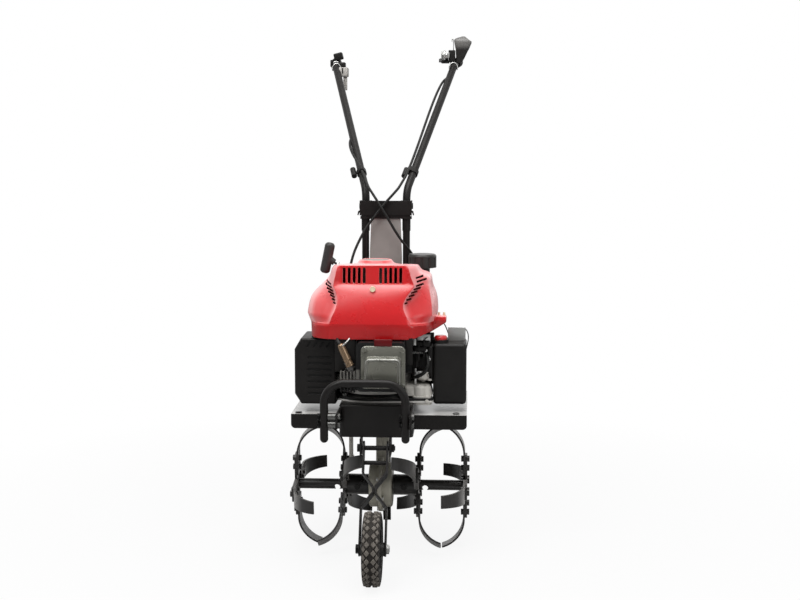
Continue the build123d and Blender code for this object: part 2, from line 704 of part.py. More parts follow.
# Bumper: a bent tube on the left faces of both ears, with a spacer at the left ear.
BUMPER_R = 8.5
BUMPER_RIGHT_X = BED_HALF - BED_WALL - BUMPER_R
BUMPER_SPAN = 168.0
BUMPER_LEFT_X = BUMPER_RIGHT_X - BUMPER_SPAN
BUMPER_TOP = 412.0
BUMPER_LOW = 296.0
BUMPER_BEND = 42.0
BUMPER_WALL = 1.5
bumper_y = AXLE_Y - EAR_BOLT_AHEAD
with BuildPart() as bumper:
    tube(
        (
            (BUMPER_LEFT_X, bumper_y, BUMPER_LOW),
            (BUMPER_LEFT_X, bumper_y, BUMPER_TOP),
            (BUMPER_RIGHT_X, bumper_y, BUMPER_TOP),
            (BUMPER_RIGHT_X, bumper_y, BUMPER_LOW),
        ),
        BUMPER_BEND,
        BUMPER_R,
    )
    for x in (BUMPER_LEFT_X, BUMPER_RIGHT_X):
        with Locations((x, bumper_y, BUMPER_LOW)):
            Sphere(BUMPER_R)
    for z in EAR_BOLT_Z:
        rod_x(
            BOLT_R + RUN_FIT,
            BUMPER_LEFT_X - 2 * BUMPER_R,
            BUMPER_RIGHT_X + 2 * BUMPER_R,
            bumper_y,
            z,
            Mode.SUBTRACT,
        )
bumper.part.label = "bumper"
export_step(bumper.part, "parts/bumper.step")

with BuildPart() as bumper_bolts:
    for z in EAR_BOLT_Z:
        left_nut = -BED_HALF + BED_WALL
        rod_x(BOLT_R, BUMPER_LEFT_X - BUMPER_R - 1, left_nut + HEAD_H, bumper_y, z)
        rod_x(WASHER_R - 1, BUMPER_LEFT_X + BUMPER_R, -BED_HALF, bumper_y, z)
        rod_x(BOLT_R, BUMPER_RIGHT_X - BUMPER_R - 1, BED_HALF + HEAD_H, bumper_y, z)
        for x, side in (
            (BUMPER_LEFT_X - BUMPER_R, -1),
            (left_nut, 1),
            (BUMPER_RIGHT_X - BUMPER_R, -1),
            (BED_HALF, 1),
        ):
            hexagon(Plane(origin=(x, bumper_y, z), z_dir=(side, 0, 0)), HEAD_R, HEAD_H)

# Wheel arm: two flat bars that pinch together half-way, joined by a cross bar and the wheel axle.
BAR_T = 3.5
BAR_W = 30.0
BAR_TOP_X = 25.0
BAR_PINCH_X = 2.4
BAR_WHEEL_X = 26.5
TYRE_HALF = 21.5
WHEEL_AXLE_R = 6.0
wheel_y = AXLE_Y - WHEEL_AHEAD
pivot_y = AXLE_Y - PIVOT_AHEAD
arm_drop = PIVOT_Z - WHEEL_R
arm_run = WHEEL_AHEAD - PIVOT_AHEAD
arm_length = hypot(arm_drop, arm_run)
arm_down = Vector(0, -arm_run, -arm_drop).normalized()
arm_across = Vector(1, 0, 0).cross(arm_down)
PINCH_FROM = 0.26
PINCH_TOP = 0.40
PINCH_LOW = 0.46
PINCH_TO = 0.60
CROSS_BAR_AT = 0.15
with BuildPart() as wheel_arm:
    for side in (-1, 1):
        arm_plane = Plane(origin=(0, pivot_y, PIVOT_Z), x_dir=(1, 0, 0), z_dir=-arm_across)
        down = -1 if arm_plane.y_dir.dot(arm_down) < 0 else 1
        with BuildSketch(arm_plane) as strip:
            with BuildLine() as centre:
                Polyline(
                    (side * BAR_TOP_X, -down * BAR_W / 2),
                    (side * BAR_TOP_X, down * arm_length * PINCH_FROM),
                    (side * BAR_PINCH_X, down * arm_length * PINCH_TOP),
                    (side * BAR_PINCH_X, down * arm_length * PINCH_LOW),
                    (side * BAR_WHEEL_X, down * arm_length * PINCH_TO),
                    (side * BAR_WHEEL_X, down * (arm_length + BAR_W / 2)),
                )
            trace(line_width=BAR_T)
        extrude(strip.sketch, amount=BAR_W / 2, both=True)
    # rounded ends about the pivot and about the axle
    ends = arm_length + BAR_W / 2
    side_plane = Plane(origin=(-50, pivot_y, PIVOT_Z), x_dir=arm_down, z_dir=(1, 0, 0))
    with BuildSketch(side_plane) as side_view:
        with Locations((arm_length / 2, 0)):
            SlotCenterToCenter(arm_length, BAR_W)
    extrude(side_view.sketch, amount=100, mode=Mode.INTERSECT)
    cross_at = Vector(0, pivot_y, PIVOT_Z) + arm_down * (arm_length * CROSS_BAR_AT)
    rod_x(4.5, -BAR_TOP_X, BAR_TOP_X, cross_at.Y, cross_at.Z)
    rod_x(PIVOT_R + RUN_FIT, -50, 50, pivot_y, PIVOT_Z, Mode.SUBTRACT)
    rod_x(WHEEL_AXLE_R, -50, 50, wheel_y, WHEEL_R, Mode.SUBTRACT)
wheel_arm.part.label = "wheel_arm"
export_step(wheel_arm.part, "parts/wheel_arm.step")

with BuildPart() as arm_pivot:
    reach = LUG_X + LUG_T / 2
    rod_x(PIVOT_R, -reach - 1, reach + 8, pivot_y, PIVOT_Z)
    hexagon(Plane(origin=(-reach, pivot_y, PIVOT_Z), z_dir=(-1, 0, 0)), HEAD_R + 1.5, HEAD_H + 1)
    hexagon(Plane(origin=(reach, pivot_y, PIVOT_Z), z_dir=(1, 0, 0)), HEAD_R + 1.5, HEAD_H + 1)
arm_pivot.part.label = "arm_pivot"
export_step(arm_pivot.part, "parts/arm_pivot.step")

# Wheel: a plastic rim with a hub and web, and a rubber tyre with two rows of slanted lugs.
RIM_R = 46.0
RIM_WALL = 5.0
HUB_R = 14.0
WEB_T = 6.0
LUG_DEPTH = 4.0
TYRE_LUGS = 26
LUG_LEN = 15.0
tyre_body_r = WHEEL_R - LUG_DEPTH
with BuildPart() as wheel_axle:
    reach = BAR_WHEEL_X + BAR_T / 2
    rod_x(WHEEL_AXLE_R - RUN_FIT, -reach - 1, reach + 7, wheel_y, WHEEL_R)
    hexagon(Plane(origin=(-reach, wheel_y, WHEEL_R), z_dir=(-1, 0, 0)), 10, 6)
    hexagon(Plane(origin=(reach, wheel_y, WHEEL_R), z_dir=(1, 0, 0)), 10, 6)
wheel_axle.part.label = "wheel_axle"
export_step(wheel_axle.part, "parts/wheel_axle.step")

with BuildPart() as wheel_rim:
    rod_x(RIM_R, -TYRE_HALF + 5, TYRE_HALF - 5, wheel_y, WHEEL_R)
    rod_x(RIM_R - RIM_WALL, -TYRE_HALF, -WEB_T / 2, wheel_y, WHEEL_R, Mode.SUBTRACT)
    rod_x(RIM_R - RIM_WALL, WEB_T / 2, TYRE_HALF, wheel_y, WHEEL_R, Mode.SUBTRACT)
    hub_half = BAR_WHEEL_X - BAR_T / 2 - AIR
    rod_x(HUB_R, -hub_half, hub_half, wheel_y, WHEEL_R)
    rod_x(WHEEL_AXLE_R, -50, 50, wheel_y, WHEEL_R, Mode.SUBTRACT)
wheel_rim.part.label = "wheel_rim"
export_step(wheel_rim.part, "parts/wheel_rim.step")

with BuildPart() as wheel_tyre:
    with BuildSketch(Plane(origin=(0, wheel_y, WHEEL_R), x_dir=(1, 0, 0), z_dir=(0, -1, 0))):
        with Locations((0, (RIM_R + tyre_body_r) / 2)):
            RectangleRounded(2 * TYRE_HALF, tyre_body_r - RIM_R, 9)
        with Locations((0, RIM_R + 5)):
            Rectangle(2 * TYRE_HALF - 10, 10)
    revolve(axis=Axis((0, wheel_y, WHEEL_R), (1, 0, 0)))
    for k in range(TYRE_LUGS):
        for side in (-1, 1):
            turn = 2 * pi * (k + (0.25 if side > 0 else -0.25)) / TYRE_LUGS
            out = Vector(0, sin(turn), cos(turn))
            foot = Vector(side * 8.5, wheel_y, WHEEL_R) + out * (tyre_body_r - 4)
            with BuildSketch(Plane(origin=foot, x_dir=(1, 0, 0), z_dir=out)):
                Polygon(
                    (-side * 8.5, -4.2),
                    (-side * 8.5, 2.2),
                    (side * 8.5, 6.6),
                    (side * 8.5, -0.4),
                    align=None,
                )
            extrude(amount=LUG_DEPTH + 4)
    rod_x(2 * WHEEL_R, -50, 50, wheel_y, WHEEL_R, Mode.INTERSECT)
    with BuildSketch(Plane(origin=(0, wheel_y, WHEEL_R), x_dir=(1, 0, 0), z_dir=(0, -1, 0))) as keep:
        with BuildLine():
            crown = WHEEL_R - 6
            Polyline((-TYRE_HALF, RIM_R - 1), (-TYRE_HALF, crown), (-10, WHEEL_R), (10, WHEEL_R))
            Polyline((10, WHEEL_R), (TYRE_HALF, crown), (TYRE_HALF, RIM_R - 1), (-TYRE_HALF, RIM_R - 1))
        make_face()
    revolve(axis=Axis((0, wheel_y, WHEEL_R), (1, 0, 0)), mode=Mode.INTERSECT)
    rod_x(RIM_R, -50, 50, wheel_y, WHEEL_R, Mode.SUBTRACT)
wheel_tyre.part.label = "wheel_tyre"
export_step(wheel_tyre.part, "parts/wheel_tyre.step")

# Engine: crankcase with its round flange, barrel with fins, head and valve cover, cylinder to the front.
FLANGE_DISC_R = 105.0
FLANGE_DISC_H = 9.0
FLANGE_CUT = 86.0  # the flange is cut off here on the left, beside the guard
LOBE_X = 110.0
LOBE_Y = CRANK_Y - 84
LOBE_R = 10.0
EXHAUST_Y = AXLE_Y - 98
EXHAUST_Z = 398.0
EXHAUST_R = 13.0
EXHAUST_PAD_X = -80.0
PAD_X = 74.0
PAD_HALF = 19.0
CASE_BODY_R = 80.0
CASE_BODY_TOP = 484.0
CYL_X = 8.0
CYL_Z = 438.0
BORE_R = 31.0
BARREL_AHEAD = 126.0  # barrel end ahead of the crank axis
HEAD_LEN = 22.0
COVER_LEN = 24.0
COVER_W = 93.0
COVER_H = 90.0
COVER_X = 16.5
HEAD_LEFT, HEAD_RIGHT = 48.0, 54.0  # the head's sides, from the cylinder's axis
HEAD_HALF_H = 52.0
FIN_T = 2.6
FIN_PITCH = 7.0
FINS = 15
SHAFT_R = 12.5
crank_room_r = 56.0
CARB_Y = AXLE_Y - 82
CARB_Z = 430.0
barrel_y = CRANK_Y - BARREL_AHEAD
head_y = barrel_y - HEAD_LEN
cover_y = head_y - COVER_LEN
with BuildPart() as crankcase:
    with BuildSketch(Plane.XY.offset(BED_TOP)):
        with Locations((CRANK_X, CRANK_Y)):
            Circle(FLANGE_DISC_R)
        with Locations((LOBE_X, LOBE_Y)):
            Circle(LOBE_R)
        make_hull()
        with Locations((-FLANGE_CUT - FLANGE_DISC_R, CRANK_Y)):
            Rectangle(2 * FLANGE_DISC_R, 2 * FLANGE_DISC_R, mode=Mode.SUBTRACT)
    extrude(amount=FLANGE_DISC_H)
    rod_z(CASE_BODY_R, CRANK_X, CRANK_Y, BED_TOP, CASE_BODY_TOP)
    fillet(crankcase.edges().filter_by(GeomType.CIRCLE).sort_by(Axis.Z)[-1], 8)
    block(CYL_X - 42, CYL_X + 42, barrel_y, CRANK_Y - 40, CYL_Z - 42, CYL_Z + 42)
    block(
        PAD_X / 2,
        PAD_X,
        CARB_Y - PAD_HALF,
        CARB_Y + PAD_HALF,
        CARB_Z - PAD_HALF,
        CARB_Z + PAD_HALF,
    )
    block(
        EXHAUST_PAD_X,
        EXHAUST_PAD_X / 2,
        EXHAUST_Y - PAD_HALF,
        EXHAUST_Y + PAD_HALF,
        EXHAUST_Z - PAD_HALF,
        EXHAUST_Z + PAD_HALF,
    )
    # upright fins that let the air pass down along the barrel
    for k in range(FINS):
        x = CYL_X + (k - (FINS - 1) / 2) * FIN_PITCH
        block(x - FIN_T / 2, x + FIN_T / 2, barrel_y, CRANK_Y - 40, CYL_Z - 54, CYL_Z + 52)
    rod_z(crank_room_r, CRANK_X, CRANK_Y, BED_TOP + 12, CASE_BODY_TOP - 10, Mode.SUBTRACT)
    rod_y(BORE_R, CYL_X, barrel_y - 1, CRANK_Y, CYL_Z, Mode.SUBTRACT)
    rod_z(SHAFT_R + RUN_FIT, CRANK_X, CRANK_Y, BED_TOP - 1, CASE_BODY_TOP + 1, Mode.SUBTRACT)
    for turn in engine_bolt_turns:
        rod_z(
            BOLT_R + RUN_FIT,
            CRANK_X + ENGINE_BOLT_R * cos(turn),
            CRANK_Y + ENGINE_BOLT_R * sin(turn),
            BED_TOP - 1,
            BED_TOP + FLANGE_DISC_H + 1,
            Mode.SUBTRACT,
        )
crankcase.part.label = "crankcase"
export_step(crankcase.part, "parts/crankcase.step")

# All bolts of the frame: engine, gear case, fenders, bumper and the clamp screw of the drag stake.
with BuildPart() as frame_bolts:
    add(fender_bolts.part)
    add(bumper_bolts.part)
    for turn in engine_bolt_turns:
        x = CRANK_X + ENGINE_BOLT_R * cos(turn)
        y = CRANK_Y + ENGINE_BOLT_R * sin(turn)
        top = BED_TOP + FLANGE_DISC_H
        rod_z(BOLT_R, x, y, BED_TOP - BED_WALL - 8, top + 1)
        hexagon(Plane(origin=(x, y, top)), HEAD_R, HEAD_H)
    for side in (-1, 1):
        y = WORM_Y + side * MOUNT_BOLT_Y
        low = BED_LOW - FLANGE_TOP_H
        rod_z(BOLT_R, 0, y, low - 1, BED_LOW + BED_WALL + 7)
        hexagon(Plane(origin=(0, y, low), z_dir=(0, 0, -1)), HEAD_R, 3)
    # the clamp screw of the drag stake stops just short of the stake
    screw_z = (SOCKET_LOW + SOCKET_TOP) / 2
    screw_y = STAKE_Y + STAKE_HALF + AIR
    rod_y(BOLT_R, 0, screw_y, STAKE_Y + socket + 14, screw_z)
    hexagon(Plane(origin=(0, STAKE_Y + socket + 10, screw_z), z_dir=(0, 1, 0)), 11, 7)
frame_bolts.part.label = "frame_bolts"
export_step(frame_bolts.part, "parts/frame_bolts.step")

PLUG_FOOT = Vector(-38.0, barrel_y - HEAD_LEN / 2, 410.0)
PLUG_END = Vector(-61.5, barrel_y - HEAD_LEN / 2, 447.0)
PLUG_R = 6.0
PLUG_HEX_AT = 24.0
PLUG_HEX_R = 10.0
plug_way = (PLUG_END - PLUG_FOOT).normalized()
BOOT_R = 8.0
HEAD_FINS = 5
with BuildPart() as cylinder_head:
    block(
        CYL_X - HEAD_LEFT,
        CYL_X + HEAD_RIGHT,
        head_y,
        barrel_y,
        CYL_Z - HEAD_HALF_H,
        CYL_Z + HEAD_HALF_H,
    )
    fillet(cylinder_head.edges().filter_by(Axis.Y), 10)
    for k in range(HEAD_FINS):
        x = CYL_X - HEAD_LEFT - FIN_PITCH * (k + 0.6)
        block(x - FIN_T / 2, x + FIN_T / 2, head_y + 2, barrel_y, 384, 428)
    block(
        CYL_X - HEAD_LEFT - FIN_PITCH * HEAD_FINS,
        CYL_X - HEAD_LEFT + FIN_PITCH,
        barrel_y - 7,
        barrel_y,
        386,
        426,
    )
    with BuildSketch(Plane(origin=PLUG_FOOT, z_dir=plug_way)):
        Circle(PLUG_R + RUN_FIT)
    extrude(amount=2 * PLUG_HEX_AT, mode=Mode.SUBTRACT)
    with BuildSketch(Plane(origin=PLUG_FOOT + plug_way * PLUG_HEX_AT, z_dir=plug_way)):
        Circle(PLUG_HEX_R + AIR)
    extrude(amount=2 * PLUG_HEX_AT, mode=Mode.SUBTRACT)
cylinder_head.part.label = "cylinder_head"
export_step(cylinder_head.part, "parts/cylinder_head.step")

with BuildPart() as valve_cover:
    with BuildSketch(Plane(origin=(COVER_X, head_y, CYL_Z), x_dir=(1, 0, 0), z_dir=(0, -1, 0))):
        RectangleRounded(COVER_W, COVER_H, 11)
    extrude(amount=4)
    with BuildSketch(Plane(origin=(COVER_X, head_y - 4, CYL_Z - 5), x_dir=(1, 0, 0), z_dir=(0, -1, 0))):
        RectangleRounded(COVER_W - 12, COVER_H - 18, 12)
    extrude(amount=COVER_LEN - 4, taper=6)
    fillet(valve_cover.faces().sort_by(Axis.Y)[0].edges(), 5)
    block(
        COVER_X - COVER_W / 2 + 12,
        COVER_X + COVER_W / 2 - 12,
        head_y - COVER_LEN + 5,
        head_y + 1,
        CYL_Z - COVER_H / 2 + 14,
        CYL_Z + COVER_H / 2 - 20,
        Mode.SUBTRACT,
    )
    for sx in (-1, 1):
        for sz in (-1, 1):
            rod_y(
                3,
                COVER_X + sx * (COVER_W / 2 - 7),
                head_y - 10,
                head_y + 1,
                CYL_Z + sz * (COVER_H / 2 - 7),
                Mode.SUBTRACT,
            )
            rod_y(
                6.4,
                COVER_X + sx * (COVER_W / 2 - 7),
                cover_y - 1,
                head_y - 4,
                CYL_Z + sz * (COVER_H / 2 - 7),
                Mode.SUBTRACT,
            )
valve_cover.part.label = "valve_cover"
export_step(valve_cover.part, "parts/valve_cover.step")

with BuildPart() as valve_cover_bolts:
    for sx in (-1, 1):
        for sz in (-1, 1):
            x = COVER_X + sx * (COVER_W / 2 - 7)
            z = CYL_Z + sz * (COVER_H / 2 - 7)
            rod_y(3 - RUN_FIT, x, head_y - 6, head_y, z)
            hexagon(Plane(origin=(x, head_y - 4, z), z_dir=(0, -1, 0)), 5.5, 4.5)
valve_cover_bolts.part.label = "valve_cover_bolts"
export_step(valve_cover_bolts.part, "parts/valve_cover_bolts.step")

with BuildPart() as spark_plug:
    with BuildSketch(Plane(origin=PLUG_FOOT, z_dir=plug_way)):
        Circle(PLUG_R)
    extrude(amount=(PLUG_END - PLUG_FOOT).length)
    hexagon(Plane(origin=PLUG_FOOT + plug_way * PLUG_HEX_AT, z_dir=plug_way), PLUG_HEX_R, 9)
spark_plug.part.label = "spark_plug"
export_step(spark_plug.part, "parts/spark_plug.step")

with BuildPart() as plug_boot:
    with BuildSketch(Plane(origin=PLUG_FOOT + plug_way * 34, z_dir=plug_way)):
        Circle(BOOT_R)
    extrude(amount=(PLUG_END - PLUG_FOOT).length - 34 + 30)
    with BuildSketch(Plane(origin=PLUG_FOOT, z_dir=plug_way)):
        Circle(PLUG_R)
    extrude(amount=(PLUG_END - PLUG_FOOT).length, mode=Mode.SUBTRACT)
plug_boot.part.label = "plug_boot"
export_step(plug_boot.part, "parts/plug_boot.step")

# Muffler on the left with its pierced guard.
GUARD_OUT = -177.0
GUARD_IN = -88.0
GUARD_LOW = 347.0
GUARD_TOP = 489.0
STANDOFF_X = -156.0
STANDOFF_Z = (384.0, 440.0)
GUARD_FRONT = AXLE_Y - 126
GUARD_BACK = AXLE_Y - 18
GUARD_T = 2.0
MUFFLER_WALL = 5.0
LOUVRES = 7
LOUVRE_PITCH = 13.0
with BuildPart() as muffler:
    block(GUARD_OUT + 11, GUARD_IN - 9, GUARD_FRONT + 13, GUARD_BACK - 4, GUARD_LOW + 16, GUARD_TOP - 14)
    fillet(muffler.edges(), 7)
    block(
        GUARD_OUT + 11 + MUFFLER_WALL,
        GUARD_IN - 9 - MUFFLER_WALL,
        GUARD_FRONT + 13 + MUFFLER_WALL,
        GUARD_BACK - 4 - MUFFLER_WALL,
        GUARD_LOW + 16 + MUFFLER_WALL,
        GUARD_TOP - 14 - MUFFLER_WALL,
        Mode.SUBTRACT,
    )
    rod_x(EXHAUST_R, GUARD_IN - 14, EXHAUST_PAD_X, EXHAUST_Y, EXHAUST_Z)
    for z in STANDOFF_Z:
        rod_y(4, STANDOFF_X, GUARD_FRONT + GUARD_T, GUARD_FRONT + 16, z)
    rod_y(9, GUARD_OUT + 30, GUARD_BACK - 6, GUARD_BACK + 14, GUARD_LOW + 40)
muffler.part.label = "muffler"
export_step(muffler.part, "parts/muffler.step")

with BuildPart() as muffler_guard:
    front_plane = Plane(origin=(0, GUARD_FRONT, 0), x_dir=(1, 0, 0), z_dir=(0, -1, 0))
    with BuildSketch(front_plane):
        with BuildLine():
            Polyline(
                (GUARD_IN, GUARD_LOW),
                (GUARD_OUT + 14, GUARD_LOW),
                (GUARD_OUT, GUARD_LOW + 22),
                (GUARD_OUT, GUARD_TOP - 24),
                (GUARD_OUT + 14, GUARD_TOP),
                (GUARD_IN, GUARD_TOP),
                close=True,
            )
        make_face()
    extrude(amount=-(GUARD_BACK - GUARD_FRONT))
    fillet(muffler_guard.edges().filter_by(Axis.Y), 4)
    fillet(muffler_guard.faces().sort_by(Axis.Y)[0].edges(), 5)
    hollow = muffler_guard.faces().sort_by(Axis.Y)[-1]
    offset(amount=-GUARD_T, openings=hollow)
    for k in range(LOUVRES):
        z = 409 + (k - (LOUVRES - 1) / 2) * LOUVRE_PITCH
        with BuildSketch(front_plane):
            with Locations((-123, z)):
                SlotOverall(52, 5.5)
        extrude(amount=-2 * GUARD_T - 2, mode=Mode.SUBTRACT)
    for k in range(4):
        with BuildSketch(front_plane):
            with Locations((-146 + 14 * k, 476)):
                SlotOverall(15, 4, rotation=55)
        extrude(amount=-2 * GUARD_T - 2, mode=Mode.SUBTRACT)
    for k in range(7):
        rod_x(3, GUARD_OUT - 1, GUARD_OUT + 6, GUARD_FRONT + 16, 383 + 12 * k, Mode.SUBTRACT)
    rod_x(EXHAUST_R + 1, GUARD_IN - 6, GUARD_IN + 6, EXHAUST_Y, EXHAUST_Z, Mode.SUBTRACT)
muffler_guard.part.label = "muffler_guard"
export_step(muffler_guard.part, "parts/muffler_guard.step")

# Carburettor and air filter on the right, with the primer bulb and a plated control bracket.
FILTER_IN = 118.0
FILTER_OUT = 189.5
FILTER_FRONT = AXLE_Y - 112
FILTER_BACK = AXLE_Y - 8
FILTER_LOW = 346.0
FILTER_TOP = 477.0
PRIMER_R = 14.0
PRIMER_X = 134.0
PRIMER_Y = FILTER_FRONT + 22
PRIMER_STROKE = 5.0
COLLAR_H = 7.0
with BuildPart() as carburettor:
    rod_x(17, PAD_X, FILTER_IN, CARB_Y, CARB_Z)
    block(PAD_X + 1, 106, CARB_Y - 24, CARB_Y + 20, CARB_Z - 20, CARB_Z + 26)
    fillet(carburettor.edges().filter_by(Axis.Z), 5)
    rod_z(16, 92, CARB_Y, CARB_Z - 42, CARB_Z - 16)
    rod_z(5, 92, CARB_Y, CARB_Z - 48, CARB_Z - 40)
    rod_z(9, 88, CARB_Y - 12, CARB_Z + 20, CARB_Z + 36)
    rod_y(6, 96, CARB_Y - 32, CARB_Y - 20, CARB_Z + 12)
    rod_x(11, PAD_X - 1, FILTER_IN + 1, CARB_Y, CARB_Z, Mode.SUBTRACT)
carburettor.part.label = "carburettor"
export_step(carburettor.part, "parts/carburettor.step")

with BuildPart() as air_filter:
    block(FILTER_IN, FILTER_OUT, FILTER_FRONT, FILTER_BACK, FILTER_LOW, FILTER_TOP)
    fillet(air_filter.edges(), 8)
    block(
        FILTER_IN + 3,
        FILTER_OUT - 3,
        FILTER_FRONT + 3,
        FILTER_BACK - 3,
        FILTER_LOW + 3,
        FILTER_TOP - 3,
        Mode.SUBTRACT,
    )
    rod_x(11, FILTER_IN - 1, FILTER_IN + 6, CARB_Y, CARB_Z, Mode.SUBTRACT)
    collar_top = FILTER_TOP + COLLAR_H
    rod_z(PRIMER_R + 3, PRIMER_X, PRIMER_Y, FILTER_TOP - 1, collar_top)
    rod_z(PRIMER_R + 0.4, PRIMER_X, PRIMER_Y, FILTER_TOP + 1, collar_top + 1, Mode.SUBTRACT)
air_filter.part.label = "air_filter"
export_step(air_filter.part, "parts/air_filter.step")

# Primer: a rubber dome that slides in the collar on top of the air filter.
with BuildPart() as primer_bulb:
    low = FILTER_TOP + 1 + PRIMER_STROKE + 0.5
    rod_z(PRIMER_R, PRIMER_X, PRIMER_Y, low, low + 9)
    fillet(primer_bulb.edges().sort_by(Axis.Z)[-1], 6)
primer_bulb.part.label = "primer_bulb"
export_step(primer_bulb.part, "parts/primer_bulb.step")

BRACKET_X = (149.0, 187.0)
BRACKET_Y = AXLE_Y - 62
with BuildPart() as control_bracket:
    block(BRACKET_X[0], BRACKET_X[1], BRACKET_Y, BRACKET_Y + 2, FILTER_TOP, 506)
    block(BRACKET_X[0], BRACKET_X[1], BRACKET_Y, BRACKET_Y + 26, FILTER_TOP, FILTER_TOP + 2)
    block(BRACKET_X[1] - 2, BRACKET_X[1], BRACKET_Y, BRACKET_Y + 26, FILTER_TOP, 502)
control_bracket.part.label = "control_bracket"
export_step(control_bracket.part, "parts/control_bracket.step")

# Cowl: where its front, side and plan outlines meet, hollow and open below.
COWL_X = CRANK_X
COWL_LOW = 493.0
COWL_TOP = 646.0
COWL_T = 3.0
COWL_FLOOR = 490.0
FLOOR_X = (-142.0, 110.5)
FLOOR_HOLE_R = 60.0
COWL_OVER = 20.0  # the front and plan outlines run past the top and bottom, which the side outline sets
SLOT_PITCH = 10.8
SLOT_GROUP = 38.6
SLOT_W = 6.2
SLOT_LOW = 606.0
SLOT_HIGH = 640.0
GRILLE_Y = AXLE_Y - 131  # the grille's panel at its foot
GRILLE_FOOT, GRILLE_HEAD = 603.0, 642.0
GRILLE_LEAN = 7.0  # how far its head stands behind its foot
GRILLE_FOOT_HALF, GRILLE_HEAD_HALF = 79.0, 72.0
GRILLE_DEEP = 60.0  # length of the cut, well clear of the front
RIM_IN = 30.0
RIM_OUT = 37.0
RIM_TOP = 653.0
ROPE_MOUTH = Vector(-93.0, AXLE_Y - 30, 638.0)
PULL_WAY = Vector(-0.83, 0, 0.558).normalized()
ROPE_R = 2.5
cowl_front = (
    (-144, COWL_LOW - COWL_OVER),
    (-148, 520),
    (-155, 536),
    (-152, 574),
    (-124, 602),
    (-106, 614),
    (-103, 634),
    (-85, COWL_TOP + COWL_OVER),
    (72, COWL_TOP + COWL_OVER),
    (86, 625),
    (112, 617),
    (115, 585),
    (125, 571),
    (125.5, 536),
    (116, 520),
    (112, COWL_LOW - COWL_OVER),
)
cowl_side = (
    (-168, COWL_LOW),
    (-168, 524),
    (-160, 556),
    (-141, 602),
    (-126, 640),
    (-118, COWL_TOP),
    (36, COWL_TOP),
    (70, 625),
    (90, 570),
    (94, COWL_LOW),
)
cowl_plan = (
    (-98, -169),
    (72, -169),
    (112, -140),
    (127, -90),
    (127, 62),
    (96, 93),
    (-112, 93),
    (-157, 52),
    (-157, -88),
    (-138, -140),
)


def cowl_form(inset):
    """The cowl's outside, drawn in by the inset, with the open bottom left long."""
    spread = COWL_TOP
    drop = 2 * inset
    with BuildSketch(Plane.XY.offset(COWL_LOW - COWL_OVER)) as plan:
        with BuildLine():
            Polyline(*[(x, AXLE_Y + y) for x, y in cowl_plan], close=True)
        make_face()
        fillet(plan.vertices(), 16)
        offset(amount=-inset)
    extrude(plan.sketch, amount=COWL_TOP - COWL_LOW + 2 * COWL_OVER)
    front_view = Plane(origin=(0, -spread, 0), x_dir=(1, 0, 0), z_dir=(0, -1, 0))
    with BuildSketch(front_view) as front:
        with BuildLine():
            Polyline(*cowl_front, close=True)
        make_face()
        fillet(front.vertices().sort_by(Axis.Y)[2:], 5)
        offset(amount=-inset)
    extrude(front.sketch, amount=-2 * spread, mode=Mode.INTERSECT)
    side_view = Plane(origin=(-spread, 0, 0), x_dir=(0, 1, 0), z_dir=(1, 0, 0))
    with BuildSketch(side_view) as side:
        with BuildLine():
            Polyline(
                *[(AXLE_Y + y, z - (drop if z == COWL_LOW else 0)) for y, z in cowl_side],
                close=True,
            )
        make_face()
        fillet(side.vertices().sort_by(Axis.Y)[2:], 5)
        offset(amount=-inset)
    extrude(side.sketch, amount=2 * spread, mode=Mode.INTERSECT)


with BuildPart() as cowl_inside:
    cowl_form(COWL_T)
cowl_lug = (110.0, 146.0)
grille_plane = Plane(
    origin=(COWL_X, GRILLE_Y, GRILLE_FOOT),
    x_dir=(1, 0, 0),
    z_dir=(0, GRILLE_FOOT - GRILLE_HEAD, GRILLE_LEAN),
)
grille_rise = hypot(GRILLE_HEAD - GRILLE_FOOT, GRILLE_LEAN)


def grille_panel(grow):
    """The grille's sloped outline, grown by a wall, as a sketch behind its face by that wall."""
    with BuildSketch(grille_plane.offset(-grow)) as outline:
        Polygon(
            (-GRILLE_HEAD_HALF - grow, grille_rise + grow),
            (GRILLE_HEAD_HALF + grow, grille_rise + grow),
            (GRILLE_FOOT_HALF + grow, -grow),
            (-GRILLE_FOOT_HALF - grow, -grow),
            align=None,
        )
    return outline.sketch


